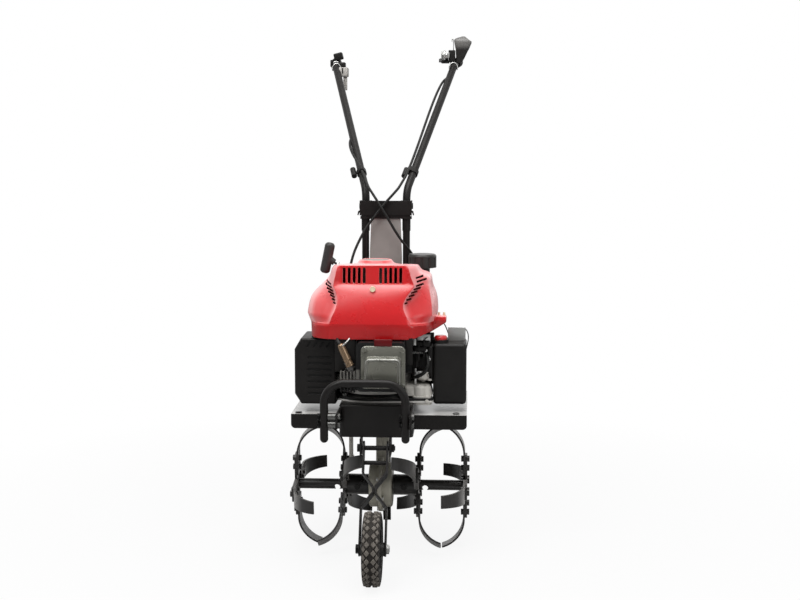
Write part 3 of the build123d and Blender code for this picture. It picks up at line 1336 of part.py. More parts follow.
# the grille is a tray let into the front: a panel with a ledge under it and a cheek on each side
with BuildPart() as grille_tray:
    cowl_form(0.0)
    extrude(grille_panel(COWL_T), amount=GRILLE_DEEP, mode=Mode.INTERSECT)
with BuildPart() as engine_cowl:
    cowl_form(0.0)
    rod_z(RIM_OUT, COWL_X, CRANK_Y, COWL_TOP - 1, RIM_TOP)
    fillet(engine_cowl.faces().sort_by(Axis.Z)[-1].edges(), 3)
    block(cowl_lug[0], cowl_lug[1], AXLE_Y - 96, AXLE_Y - 64, 508, 534)
    add(cowl_inside.part, mode=Mode.SUBTRACT)
    add(grille_tray.part)
    extrude(grille_panel(0.0), amount=GRILLE_DEEP, mode=Mode.SUBTRACT)
    with BuildSketch(grille_plane):
        for group in (-1, 1):
            for k in range(5):
                with Locations(
                    (
                        group * SLOT_GROUP + (k - 2) * SLOT_PITCH,
                        (SLOT_LOW + SLOT_HIGH) / 2 - GRILLE_FOOT,
                    )
                ):
                    SlotOverall(SLOT_HIGH - SLOT_LOW, SLOT_W, rotation=90)
    extrude(amount=-20, mode=Mode.SUBTRACT)
    rod_z(RIM_IN, COWL_X, CRANK_Y, COWL_TOP - 20, RIM_TOP + 1, Mode.SUBTRACT)
    rod_y(4, COWL_X, AXLE_Y - 170, AXLE_Y - 120, 597, Mode.SUBTRACT)
    rod_y(6 + AIR, COWL_X, AXLE_Y - 170, AXLE_Y - 142, 597, Mode.SUBTRACT)
    with BuildSketch(Plane(origin=ROPE_MOUTH - PULL_WAY * 20, z_dir=PULL_WAY)):
        Circle(ROPE_R + RUN_FIT)
    extrude(amount=60, mode=Mode.SUBTRACT)
    # floor that rests on the fins and the head, with a round hole for the shaft
    with BuildSketch(Plane.XY.offset(COWL_FLOOR)) as floor_plan:
        with BuildLine():
            Polyline(*[(x, AXLE_Y + y) for x, y in cowl_plan], close=True)
        make_face()
        offset(amount=-COWL_T / 2)
        with Locations(((FLOOR_X[0] + FLOOR_X[1]) / 2, AXLE_Y)):
            Rectangle(FLOOR_X[1] - FLOOR_X[0], COWL_TOP, mode=Mode.INTERSECT)
        with Locations((CRANK_X, CRANK_Y)):
            Circle(FLOOR_HOLE_R, mode=Mode.SUBTRACT)
    extrude(amount=COWL_LOW + COWL_T - COWL_FLOOR)
engine_cowl.part.label = "engine_cowl"
export_step(engine_cowl.part, "parts/engine_cowl.step")

with BuildPart() as cowl_screws:
    rod_y(4 - RUN_FIT, COWL_X, AXLE_Y - 147, AXLE_Y - 126, 597)
    rod_y(6, COWL_X, AXLE_Y - 149, AXLE_Y - 142, 597)
    for x in (cowl_lug[1] - 16, cowl_lug[1] - 5):
        rod_z(2.5, x, AXLE_Y - 80, 534, 541)
cowl_screws.part.label = "cowl_screws"
export_step(cowl_screws.part, "parts/cowl_screws.step")

# Crank train inside the engine, the flywheel with its fan and the recoil pulley under the cowl.
WEB_R = 44.0
CRANK_THROW = 21.0
CRANK_PIN_R = 11.0
FLYWHEEL_R = 84.0
FLYWHEEL_LOW = 498.0
FAN_BLADES = 14
RECOIL_R = 38.0
RECOIL_LOW = 566.0
RECOIL_H = 18.0
with BuildPart() as crankshaft:
    rod_z(SHAFT_R, CRANK_X, CRANK_Y, BELT_Z - PULLEY_H / 2 - 8, CYL_Z - 12)
    rod_z(SHAFT_R, CRANK_X, CRANK_Y, CYL_Z + 12, FLYWHEEL_LOW + 44)
    for z0, z1 in ((CYL_Z - 24, CYL_Z - 11), (CYL_Z + 11, CYL_Z + 24)):
        rod_z(WEB_R, CRANK_X, CRANK_Y, z0, z1)
    rod_z(CRANK_PIN_R, CRANK_X, CRANK_Y - CRANK_THROW, CYL_Z - 12, CYL_Z + 12)
crankshaft.part.label = "crankshaft"
export_step(crankshaft.part, "parts/crankshaft.step")

with BuildPart() as flywheel:
    rod_z(FLYWHEEL_R, CRANK_X, CRANK_Y, FLYWHEEL_LOW, FLYWHEEL_LOW + 14)
    rod_z(SHAFT_R + 10, CRANK_X, CRANK_Y, FLYWHEEL_LOW, FLYWHEEL_LOW + 36)
    for k in range(FAN_BLADES):
        with Locations(Location((CRANK_X, CRANK_Y, FLYWHEEL_LOW + 24), (0, 0, 360 * k / FAN_BLADES))):
            with Locations((FLYWHEEL_R - 24, 0, 0)):
                Box(40, 3, 22)
    rod_z(SHAFT_R, CRANK_X, CRANK_Y, FLYWHEEL_LOW - 1, FLYWHEEL_LOW + 50, Mode.SUBTRACT)
flywheel.part.label = "flywheel"
export_step(flywheel.part, "parts/flywheel.step")


def pulley(x, y, seat_r, bore):
    """A grooved pulley in the plane of the belt."""
    lip = seat_r + PULLEY_LIP
    rod_z(lip, x, y, BELT_Z - PULLEY_H / 2, BELT_Z + PULLEY_H / 2)
    gap = BELT_H / 2 + BELT_SLACK
    rod_z(lip + 1, x, y, BELT_Z - gap, BELT_Z + gap, Mode.SUBTRACT)
    rod_z(seat_r, x, y, BELT_Z - PULLEY_H / 2, BELT_Z + PULLEY_H / 2)
    rod_z(bore, x, y, BELT_Z - PULLEY_H, BELT_Z + PULLEY_H, Mode.SUBTRACT)


with BuildPart() as drive_pulley:
    pulley(CRANK_X, CRANK_Y, DRIVE_R, SHAFT_R)
drive_pulley.part.label = "drive_pulley"
export_step(drive_pulley.part, "parts/drive_pulley.step")

with BuildPart() as driven_pulley:
    pulley(0, WORM_Y, DRIVEN_R, WORM_SHAFT_R)
driven_pulley.part.label = "driven_pulley"
export_step(driven_pulley.part, "parts/driven_pulley.step")

# The belt runs just clear of both seats, which is how it lies while the idler is off.
with BuildPart() as v_belt:
    with BuildSketch(Plane.XY.offset(BELT_Z - BELT_H / 2)):
        with Locations((CRANK_X, CRANK_Y)):
            Circle(DRIVE_R + BELT_SLACK + BELT_T)
        with Locations((0, WORM_Y)):
            Circle(DRIVEN_R + BELT_SLACK + BELT_T)
        make_hull()
    extrude(amount=BELT_H)
    with BuildSketch(Plane.XY.offset(BELT_Z - BELT_H / 2)):
        with Locations((CRANK_X, CRANK_Y)):
            Circle(DRIVE_R + BELT_SLACK)
        with Locations((0, WORM_Y)):
            Circle(DRIVEN_R + BELT_SLACK)
        make_hull()
    extrude(amount=BELT_H, mode=Mode.SUBTRACT)
v_belt.part.label = "v_belt"
export_step(v_belt.part, "parts/v_belt.step")

# Idler arm on the stud of the bed, with a flat-faced idler that is swung against the belt.
IDLER_R = 11.0
IDLER_PIN_R = 4.0
IDLER_X = -57.0
IDLER_Y = AXLE_Y - 4
IDLER_ARM_Z = BELT_Z + 8
IDLER_ARM_T = 4.0
idler_span = hypot(IDLER_X - IDLER_PIVOT[0], IDLER_Y - IDLER_PIVOT[1])
idler_turn = degrees(atan2(IDLER_Y - IDLER_PIVOT[1], IDLER_X - IDLER_PIVOT[0]))
with BuildPart() as idler_arm:
    with BuildSketch(Plane.XY.offset(IDLER_ARM_Z)):
        with Locations(
            Location(
                ((IDLER_X + IDLER_PIVOT[0]) / 2, (IDLER_Y + IDLER_PIVOT[1]) / 2, 0),
                (0, 0, idler_turn),
            )
        ):
            SlotCenterToCenter(idler_span, 18)
    extrude(amount=IDLER_ARM_T)
    rod_z(IDLER_PIVOT_R + 4, IDLER_PIVOT[0], IDLER_PIVOT[1], IDLER_ARM_Z, IDLER_ARM_Z + 16)
    rod_z(IDLER_PIN_R, IDLER_X, IDLER_Y, BELT_Z - 8, IDLER_ARM_Z + 1)
    rod_z(
        IDLER_PIVOT_R + RUN_FIT,
        IDLER_PIVOT[0],
        IDLER_PIVOT[1],
        IDLER_ARM_Z - 1,
        IDLER_ARM_Z + 20,
        Mode.SUBTRACT,
    )
idler_arm.part.label = "idler_arm"
export_step(idler_arm.part, "parts/idler_arm.step")

with BuildPart() as idler_pulley:
    rod_z(IDLER_R, IDLER_X, IDLER_Y, BELT_Z - 6, BELT_Z + 6)
    rod_z(IDLER_PIN_R + RUN_FIT, IDLER_X, IDLER_Y, BELT_Z - 7, BELT_Z + 7, Mode.SUBTRACT)
idler_pulley.part.label = "idler_pulley"
export_step(idler_pulley.part, "parts/idler_pulley.step")

# Recoil starter: rope pulley on a post of its own and the grip with the outer end of the rope.
with BuildPart() as recoil_pulley:
    rod_z(RECOIL_R + 4, COWL_X, CRANK_Y, RECOIL_LOW, RECOIL_LOW + RECOIL_H)
    rod_z(RECOIL_R + 5, COWL_X, CRANK_Y, RECOIL_LOW + 5, RECOIL_LOW + RECOIL_H - 5, Mode.SUBTRACT)
    rod_z(RECOIL_R - 3, COWL_X, CRANK_Y, RECOIL_LOW, RECOIL_LOW + RECOIL_H)
    rod_z(RIM_IN - RUN_FIT, COWL_X, CRANK_Y, RECOIL_LOW, RIM_TOP - 3)
    fillet(recoil_pulley.faces().sort_by(Axis.Z)[-1].edges(), 3)
recoil_pulley.part.label = "recoil_pulley"
export_step(recoil_pulley.part, "parts/recoil_pulley.step")

GRIP_BACK = 26.5  # from the mouth of the rope to the middle of the grip
GRIP_HALF = 34.0
GRIP_R = 11.0
grip_mid = ROPE_MOUTH + PULL_WAY * GRIP_BACK
grip_way = Vector(0.2, 0, 0.98).normalized()
with BuildPart() as recoil_grip:
    with BuildSketch(Plane(origin=grip_mid - grip_way * GRIP_HALF, z_dir=grip_way)):
        Circle(GRIP_R)
    extrude(amount=2 * GRIP_HALF)
    fillet(recoil_grip.edges().filter_by(GeomType.CIRCLE), 8)
    with BuildSketch(Plane(origin=grip_mid, z_dir=-PULL_WAY)):
        Circle(9)
    extrude(amount=GRIP_BACK - 8, taper=7)
    with BuildSketch(Plane(origin=grip_mid, z_dir=-PULL_WAY)):
        Circle(ROPE_R)
    extrude(amount=GRIP_BACK + 12)
recoil_grip.part.label = "recoil_grip"
export_step(recoil_grip.part, "parts/recoil_grip.step")

# Fuel tank behind the cowl on two feet, with a filler neck and a screw cap.
CAP_X = 87.0
CAP_Y = AXLE_Y + 122
CAP_R = 32.0
NECK_R = 17.0
NECK_TOP = 626.0
CAP_LOW = 619.0
CAP_TOP = 650.0
TANK = (30.0, 106.0, AXLE_Y + 98, AXLE_Y + 150, 505.0, 600.0)
with BuildPart() as fuel_tank:
    block(*TANK)
    fillet(fuel_tank.edges(), 12)
    rod_z(NECK_R, CAP_X, CAP_Y, TANK[5] - 6, NECK_TOP)
    for x in (44, 70):
        rod_z(6, x, AXLE_Y + 124, BED_TOP, TANK[4] + 5)
    block(
        TANK[0] + 4,
        TANK[1] - 4,
        TANK[2] + 4,
        TANK[3] - 4,
        TANK[4] + 6,
        TANK[5] - 4,
        Mode.SUBTRACT,
    )
    rod_z(NECK_R - 4, CAP_X, CAP_Y, TANK[5] - 10, NECK_TOP + 1, Mode.SUBTRACT)
fuel_tank.part.label = "fuel_tank"
export_step(fuel_tank.part, "parts/fuel_tank.step")

CAP_FLUTES = 12
with BuildPart() as fuel_cap:
    rod_z(CAP_R, CAP_X, CAP_Y, CAP_LOW, CAP_TOP)
    fillet(fuel_cap.edges().filter_by(GeomType.CIRCLE).sort_by(Axis.Z)[-1], 6)
    for k in range(CAP_FLUTES):
        turn = 2 * pi * k / CAP_FLUTES
        rod_z(
            3.2,
            CAP_X + (CAP_R + 1) * cos(turn),
            CAP_Y + (CAP_R + 1) * sin(turn),
            CAP_LOW - 1,
            CAP_TOP - 7,
            Mode.SUBTRACT,
        )
    rod_z(NECK_R + 0.4, CAP_X, CAP_Y, CAP_LOW - 1, NECK_TOP + 0.4, Mode.SUBTRACT)
fuel_cap.part.label = "fuel_cap"
export_step(fuel_cap.part, "parts/fuel_cap.step")

# Handle column: two tubes on a foot plate, a grey panel between them and the bracket of the arms.
COLUMN_X = 47.5
COLUMN_R = 8.3
SLEEVE_R = 9.6
COLUMN_FOOT_Y = AXLE_Y + 165
COLUMN_TOP_Y = AXLE_Y + 180
FOOT_T = 6.0
COLUMN_TOP = 734.0
SLEEVE_LOW = 700.0
column_low = BED_TOP + FOOT_T
lean = (COLUMN_TOP_Y - COLUMN_FOOT_Y) / (COLUMN_TOP - column_low)
column_up = Vector(0, lean, 1).normalized()
with BuildPart() as column_tubes:
    block(-62, 62, COLUMN_FOOT_Y - 16, COLUMN_FOOT_Y + 16, BED_TOP, column_low)
    for side in (-1, 1):
        foot = Vector(side * COLUMN_X, COLUMN_FOOT_Y, column_low - 1)
        run = (COLUMN_TOP - column_low) * sqrt(1 + lean * lean)
        with BuildSketch(Plane(origin=foot, z_dir=column_up)):
            Circle(COLUMN_R)
        extrude(amount=run)
        sleeve = foot + column_up * (run - (COLUMN_TOP - SLEEVE_LOW))
        with BuildSketch(Plane(origin=sleeve, z_dir=column_up)):
            Circle(SLEEVE_R)
        extrude(amount=COLUMN_TOP - SLEEVE_LOW)
column_tubes.part.label = "column_tubes"
export_step(column_tubes.part, "parts/column_tubes.step")

PANEL_T = 2.5
PANEL_LIP = 9.0
PANEL_HALF = COLUMN_X - SLEEVE_R - 0.6
PANEL_TOP_HALF = 34.0
PANEL_TOP = 731.0
PANEL_WIDE_Z = 640.0
panel_plane = Plane(
    origin=(0, COLUMN_FOOT_Y, column_low),
    x_dir=(1, 0, 0),
    z_dir=Vector(1, 0, 0).cross(column_up),
)
panel_height = PANEL_TOP - column_low
panel_knee = PANEL_WIDE_Z - column_low
with BuildPart() as column_panel:
    with BuildSketch(panel_plane):
        with BuildLine():
            Polyline(
                (-PANEL_HALF, 0.5),
                (PANEL_HALF, 0.5),
                (PANEL_HALF, panel_knee),
                (PANEL_TOP_HALF, panel_height),
                (-PANEL_TOP_HALF, panel_height),
                (-PANEL_HALF, panel_knee),
                close=True,
            )
        make_face()
    extrude(amount=PANEL_LIP)
    with BuildSketch(panel_plane):
        with BuildLine():
            Polyline(
                (-PANEL_HALF + PANEL_T, 0),
                (PANEL_HALF - PANEL_T, 0),
                (PANEL_HALF - PANEL_T, panel_knee),
                (PANEL_TOP_HALF - PANEL_T, panel_height + 1),
                (-PANEL_TOP_HALF + PANEL_T, panel_height + 1),
                (-PANEL_HALF + PANEL_T, panel_knee),
                close=True,
            )
        make_face()
    extrude(amount=PANEL_LIP - PANEL_T, mode=Mode.SUBTRACT)
column_panel.part.label = "column_panel"
export_step(column_panel.part, "parts/column_panel.step")

# Bracket: a front plate with two cheeks that hold the fold bolts of the arms.
FOLD_Y = AXLE_Y + 187
FOLD_Z = 756.0
FOLD_R = 5.0
PLATE_Y = AXLE_Y + 166
BRACKET_HALF = 60.5
BRACKET_LOW = 735.0
FOLD_HEAD_H = 2.0  # flat heads of the fold bolts
BRACKET_TOP = 769.0
BRACKET_T = 3.0
ARM_R = 9.0
ARM_WALL = 1.6
FOOT_X = COLUMN_X
with BuildPart() as handle_bracket:
    block(-BRACKET_HALF, BRACKET_HALF, PLATE_Y, PLATE_Y + BRACKET_T, BRACKET_LOW, BRACKET_TOP)
    for side in (-1, 1):
        for x in (BRACKET_HALF - BRACKET_T / 2, FOOT_X - ARM_R - 2.6):
            block(
                side * x - BRACKET_T / 2,
                side * x + BRACKET_T / 2,
                PLATE_Y,
                FOLD_Y + 12,
                BRACKET_LOW + 14,
                BRACKET_TOP,
            )
        rod_x(
            FOLD_R,
            min(side * (FOOT_X - ARM_R - 6), side * (BRACKET_HALF + 1)),
            max(side * (FOOT_X - ARM_R - 6), side * (BRACKET_HALF + 1)),
            FOLD_Y,
            FOLD_Z,
        )
        hexagon(
            Plane(origin=(side * BRACKET_HALF, FOLD_Y, FOLD_Z), z_dir=(side, 0, 0)),
            HEAD_R,
            FOLD_HEAD_H,
        )
        # collar on the end of the column's tube
        seat = Vector(side * COLUMN_X, COLUMN_FOOT_Y, column_low - 1) + column_up * (run - COLLAR_H)
        with BuildSketch(Plane(origin=seat, z_dir=column_up)):
            Circle(SLEEVE_R + BRACKET_T)
            Circle(SLEEVE_R, mode=Mode.SUBTRACT)
        extrude(amount=COLLAR_H)
        # small curled hooks at the lower corners
        with BuildSketch(
            Plane(origin=(side * BRACKET_HALF, PLATE_Y, 0), x_dir=(1, 0, 0), z_dir=(0, -1, 0))
        ):
            Polygon(
                (-side * 2, BRACKET_LOW + 13),
                (side * 3.5, BRACKET_LOW + 10),
                (side * 5.5, BRACKET_LOW + 1),
                (side * 3, BRACKET_LOW),
                (side * 1, BRACKET_LOW + 6),
                (-side * 2, BRACKET_LOW + 7),
                align=None,
            )
        extrude(amount=-BRACKET_T)
handle_bracket.part.label = "handle_bracket"
export_step(handle_bracket.part, "parts/handle_bracket.step")

# Handle arms: bent tubes from the fold bolts up and back to the grips.
ARM_LOW = 742.0
ELBOW = (FOOT_X, AXLE_Y + 189, 792.0)
WRIST = (154.0, AXLE_Y + 556, 1104.0)
TIP = (161.0, AXLE_Y + GRIP_END_BACK, 1114.0)
ELBOW_BEND = 45.0
WRIST_BEND = 45.0
GRIP_LEN = 92.0
GRIP_RUBBER_R = 13.5
CAP_T = 2.5


def mirrored(point, side):
    """The point on the right arm, or its mirror image on the left."""
    return (side * point[0], point[1], point[2])


arm_way = (Vector(*WRIST) - Vector(*ELBOW)).normalized()
arm_inward = (Vector(-1, 0, 0) + arm_way * arm_way.X).normalized()
arm_front = arm_inward.cross(arm_way) if arm_inward.cross(arm_way).Z > 0 else arm_way.cross(arm_inward)


def beside_arm(side, z, inward, front):
    """A point beside the axis of the right or left arm, at the height of the axis given."""
    point = Vector(*ELBOW) + arm_way * ((z - ELBOW[2]) / arm_way.Z)
    point = point + arm_inward * inward + arm_front * front
    return mirrored((point.X, point.Y, point.Z), side)


# Routes of the control cables. Each leaves its arm through a hole, runs outside to a clamp and
# crosses to the other side of the column. It is cut in two lengths that meet beside the fold axis.
CABLE_R = 3.0
HOLE_SLACK = 0.5
CLAMP_Z = 832.0
clutch_upper = (
    beside_arm(1, 1096.0, 0, 0),
    beside_arm(1, 1072.0, 0, 0),
    beside_arm(1, 1042.0, 19.0, 3.0),
    beside_arm(1, CLAMP_Z, 8.5, 9.5),
    (31.0, AXLE_Y + 168, 800.0),
)
throttle_upper = (
    beside_arm(-1, 946.0, 0, 0),
    beside_arm(-1, 924.0, 0, 0),
    beside_arm(-1, 894.0, -19.0, 3.0),
    beside_arm(-1, CLAMP_Z, 0, 13.0),
    (-40.0, AXLE_Y + 166, 800.0),
)
UPPER_BENDS = (60.0, 80.0, 60.0)
clutch_lower = (
    (26.5, AXLE_Y + 164.5, 794.0),
    (-10.0, AXLE_Y + 158, 754.0),
    (-52.8, AXLE_Y + 150, 696.0),
    (-82.0, AXLE_Y + 130, 626.0),
    (-86.0, AXLE_Y + 116, 520.0),
    (-62.0, AXLE_Y + 116, BED_TOP + 0.5),
)
CLUTCH_BENDS = (80.0, 70.0, 70.0, 90.0)
throttle_lower = (
    (-35.5, AXLE_Y + 162.5, 794.0),
    (-6.0, AXLE_Y + 148, 750.0),
    (35.0, AXLE_Y + 145, 680.0),
    (64.0, AXLE_Y + 160, 646.0),
    (94.0, AXLE_Y + 163, 580.0),
    (102.0, AXLE_Y + 163, 460.0),
    (102.0, AXLE_Y + 110, 440.0),
    (98.0, AXLE_Y - 60, 440.0),
)
THROTTLE_BENDS = (60.0, 40.0, 40.0, 60.0, 26.0, 26.0)


def handle_arm(side):
    """One bent tube with the hole for its fold bolt."""
    end = Vector(*TIP) - (Vector(*TIP) - Vector(*WRIST)).normalized() * CAP_T
    tube(
        (
            (side * FOOT_X, FOLD_Y, ARM_LOW),
            mirrored(ELBOW, side),
            mirrored(WRIST, side),
            mirrored((end.X, end.Y, end.Z), side),
        ),
        (ELBOW_BEND, WRIST_BEND),
        ARM_R,
        ARM_R - ARM_WALL,
    )
    rod_x(FOLD_R + RUN_FIT, -BRACKET_HALF, BRACKET_HALF, FOLD_Y, FOLD_Z, Mode.SUBTRACT)
    route = clutch_upper if side > 0 else throttle_upper
    tube(route, UPPER_BENDS, CABLE_R + HOLE_SLACK, mode=Mode.SUBTRACT)


with BuildPart() as left_arm:
    handle_arm(-1)
left_arm.part.label = "left_arm"
export_step(left_arm.part, "parts/left_arm.step")
with BuildPart() as right_arm:
    handle_arm(1)
right_arm.part.label = "right_arm"
export_step(right_arm.part, "parts/right_arm.step")

with BuildPart() as arm_space:
    for side in (-1, 1):
        tube(
            (
                (side * FOOT_X, FOLD_Y, ARM_LOW),
                mirrored(ELBOW, side),
                mirrored(WRIST, side),
                mirrored(TIP, side),
            ),
            (ELBOW_BEND, WRIST_BEND),
            ARM_R,
        )

with BuildPart() as handle_grips:
    for side in (-1, 1):
        tip = Vector(*mirrored(TIP, side))
        way = (tip - Vector(*mirrored(WRIST, side))).normalized()
        with BuildSketch(Plane(origin=tip - way * GRIP_LEN, z_dir=way)):
            Circle(GRIP_RUBBER_R)
        extrude(amount=GRIP_LEN)
        with BuildSketch(Plane(origin=tip - way * (GRIP_LEN + 1), z_dir=way)):
            Circle(ARM_R)
        extrude(amount=GRIP_LEN + 1 - CAP_T, mode=Mode.SUBTRACT)
handle_grips.part.label = "handle_grips"
export_step(handle_grips.part, "parts/handle_grips.step")

# Cables in their upper and lower lengths.
with BuildPart() as lower_cables:
    tube(clutch_lower, CLUTCH_BENDS, CABLE_R)
    tube(throttle_lower, THROTTLE_BENDS, CABLE_R)
lower_cables.part.label = "lower_cables"
export_step(lower_cables.part, "parts/lower_cables.step")
with BuildPart() as upper_cables:
    tube(clutch_upper, UPPER_BENDS, CABLE_R)
    tube(throttle_upper, UPPER_BENDS, CABLE_R)
upper_cables.part.label = "upper_cables"
export_step(upper_cables.part, "parts/upper_cables.step")
print("cable bend radii", UPPER_BENDS, CLUTCH_BENDS, THROTTLE_BENDS)
print("lower cables, volume", round(lower_cables.part.volume), "upper", round(upper_cables.part.volume))

# Clamps that hold the cables on the arms: a collar round both, with a barrel nut on the left.
CLAMP_LEN = 13.0
COLLAR_WALL = 2.5
BARREL_R = 6.5
BARREL_LEN = 26.0
BARREL_OFF = 19.0
with BuildPart() as cable_clamps:
    for side, inward, front in ((-1, 0, 13.0), (1, 8.5, 9.5)):
        way = Vector(side * arm_way.X, arm_way.Y, arm_way.Z)
        at = Vector(*beside_arm(side, CLAMP_Z, 0, 0))
        across = Vector(*beside_arm(side, CLAMP_Z, 1, 0)) - at
        with BuildSketch(Plane(origin=at - way * (CLAMP_LEN / 2), x_dir=across, z_dir=way)) as collar:
            Circle(ARM_R + COLLAR_WALL)
            seat = Vector(*beside_arm(side, CLAMP_Z, inward, front)) - at
            local = Plane(origin=(0, 0, 0), x_dir=across, z_dir=way).to_local_coords(seat)
            with Locations((local.X, local.Y)):
                Circle(CABLE_R + COLLAR_WALL)
            make_hull()
        extrude(amount=CLAMP_LEN)
        nut = at + Vector(-BARREL_OFF, 0, 0)
        with BuildSketch(Plane(origin=nut - way * (BARREL_LEN / 2), z_dir=way)):
            Circle(BARREL_R)
        extrude(amount=BARREL_LEN)
        rod_x(4, nut.X, at.X, at.Y, at.Z)
    add(arm_space.part, mode=Mode.SUBTRACT)
    add(upper_cables.part, mode=Mode.SUBTRACT)
cable_clamps.part.label = "cable_clamps"
export_step(cable_clamps.part, "parts/cable_clamps.step")

# Mounts of the two hand controls: a saddle on the left arm, a flared housing and a block on the right.
grip_way_right = (Vector(*TIP) - Vector(*WRIST)).normalized()
HOUSING_FOOT = Vector(158.0, AXLE_Y + 554, 1104.0)
HOUSING_UP = Vector(0.14, 0, 1).normalized()
HOUSING_SIDE = Vector(HOUSING_UP.Z, 0, -HOUSING_UP.X)
BLOCK = (117.0, 151.0, AXLE_Y + 538, AXLE_Y + 567, 1102.0, 1132.0)
LEVER_PIVOT = (131.0, AXLE_Y + 555)
LEVER_T = 9.0
LEVER_Z = (BLOCK[4] + BLOCK[5]) / 2
THROTTLE_PIVOT = (AXLE_Y + 536, 1079.0)
THROTTLE_X = (-135.0, -116.0)
with BuildPart() as lever_mounts:
    with BuildSketch(Plane(origin=HOUSING_FOOT, x_dir=HOUSING_SIDE, z_dir=(0, -1, 0))):
        with BuildLine():
            Polyline((0, 4), (11, 4), (12, 22), (21, 44), (25, 47), (24, 52), (14, 66), (0, 70), (0, 4))
        make_face()
    revolve(axis=Axis(HOUSING_FOOT, HOUSING_UP))
    block(*BLOCK)
    # slot for the clutch lever and its pin
    block(
        BLOCK[0] - 1,
        BLOCK[1] - 12,
        BLOCK[2] + 6,
        BLOCK[3] + 1,
        LEVER_Z - LEVER_T / 2 - AIR,
        LEVER_Z + LEVER_T / 2 + AIR,
        Mode.SUBTRACT,
    )
    rod_z(3.5, LEVER_PIVOT[0], LEVER_PIVOT[1], BLOCK[4], BLOCK[5] + 2)
    rod_x(4, BLOCK[0] - 6, BLOCK[0], BLOCK[2] + 3, LEVER_Z)
    # saddle and throttle body on the left arm
    saddle_at = Vector(-WRIST[0], WRIST[1] + 2, WRIST[2] + 1)
    saddle_way = Vector(-grip_way_right.X, grip_way_right.Y, grip_way_right.Z)
    with BuildSketch(Plane(origin=saddle_at - saddle_way * 11, z_dir=saddle_way)):
        Circle(ARM_R + 4)
    extrude(amount=22)
    block(-WRIST[0] - 8, -WRIST[0] + 12, saddle_at.Y - 10, saddle_at.Y + 10, 1110, 1130)
    block(
        THROTTLE_X[0] - 8,
        THROTTLE_X[1],
        THROTTLE_PIVOT[0] - 10,
        saddle_at.Y + 4,
        THROTTLE_PIVOT[1] - 4,
        THROTTLE_PIVOT[1] + 20,
    )
    block(
        THROTTLE_X[0] + 5,
        THROTTLE_X[1] - 5,
        THROTTLE_PIVOT[0] - 11,
        THROTTLE_PIVOT[0] + 12,
        THROTTLE_PIVOT[1] - 5,
        THROTTLE_PIVOT[1] + 12,
        Mode.SUBTRACT,
    )
    rod_x(3, THROTTLE_X[0], THROTTLE_X[1], THROTTLE_PIVOT[0], THROTTLE_PIVOT[1])
    add(arm_space.part, mode=Mode.SUBTRACT)
lever_mounts.part.label = "lever_mounts"
export_step(lever_mounts.part, "parts/lever_mounts.step")

LEVER_END = (117.0, AXLE_Y + 642)
with BuildPart() as clutch_lever:
    with BuildSketch(Plane.XY.offset(LEVER_Z - LEVER_T / 2)):
        with BuildLine():
            Polyline(LEVER_PIVOT, (125, AXLE_Y + 592), LEVER_END)
        trace(line_width=10)
        with Locations(LEVER_PIVOT, LEVER_END):
            Circle(6)
    extrude(amount=LEVER_T)
    rod_z(3.5 + RUN_FIT, LEVER_PIVOT[0], LEVER_PIVOT[1], LEVER_Z - 9, LEVER_Z + 9, Mode.SUBTRACT)
clutch_lever.part.label = "clutch_lever"
export_step(clutch_lever.part, "parts/clutch_lever.step")

THROTTLE_LEN = 46.0
with BuildPart() as throttle_lever:
    middle = (THROTTLE_X[0] + THROTTLE_X[1]) / 2
    y, z = THROTTLE_PIVOT
    rod_x(6, THROTTLE_X[0] + 5.6, THROTTLE_X[1] - 5.6, y, z)
    with BuildSketch(Plane(origin=(middle - 2, 0, 0), x_dir=(0, 1, 0), z_dir=(1, 0, 0))):
        with BuildLine():
            Polyline(
                (y - 4, z),
                (y - 8, z - 18),
                (y - 7, z - THROTTLE_LEN + 6),
                (y - 1, z - THROTTLE_LEN),
                (y + 5, z - THROTTLE_LEN + 8),
                (y + 4, z),
                close=True,
            )
        make_face()
    extrude(amount=4)
    rod_x(3 + RUN_FIT, THROTTLE_X[0], THROTTLE_X[1], y, z, Mode.SUBTRACT)
throttle_lever.part.label = "throttle_lever"
export_step(throttle_lever.part, "parts/throttle_lever.step")

# Drag stake: a square bar with a pointed foot that stands on the ground.
STAKE_TOP = 392.0
STAKE_POINT = 26.0
with BuildPart() as drag_stake:
    block(-STAKE_HALF, STAKE_HALF, STAKE_Y - STAKE_HALF, STAKE_Y + STAKE_HALF, 0, STAKE_TOP)
    with BuildSketch(Plane(origin=(-STAKE_HALF - 1, 0, 0), x_dir=(0, 1, 0), z_dir=(1, 0, 0))):
        Polygon(
            (STAKE_Y - STAKE_HALF - 1, -1),
            (STAKE_Y + STAKE_HALF - 5, -1),
            (STAKE_Y - STAKE_HALF - 1, STAKE_POINT),
            align=None,
        )
    extrude(amount=2 * STAKE_HALF + 2, mode=Mode.SUBTRACT)
drag_stake.part.label = "drag_stake"
export_step(drag_stake.part, "parts/drag_stake.step")
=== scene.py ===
# %% [markdown]
# # A garden tiller, dressed for a studio picture
# The machine is already built as solids, one for each physical piece, and the imported model
# is loaded here as a fixed frame. This lesson adds what solids don't show well: the glossy
# moulded cowl, the smooth cables, the rope, and a worn finish for every piece, with painted
# highlights, painted sheen and painted shade in some of them.

# %% Load the frame
import bpy
import json
from math import radians, sin, cos, pi, hypot
from mathutils import Vector, Matrix

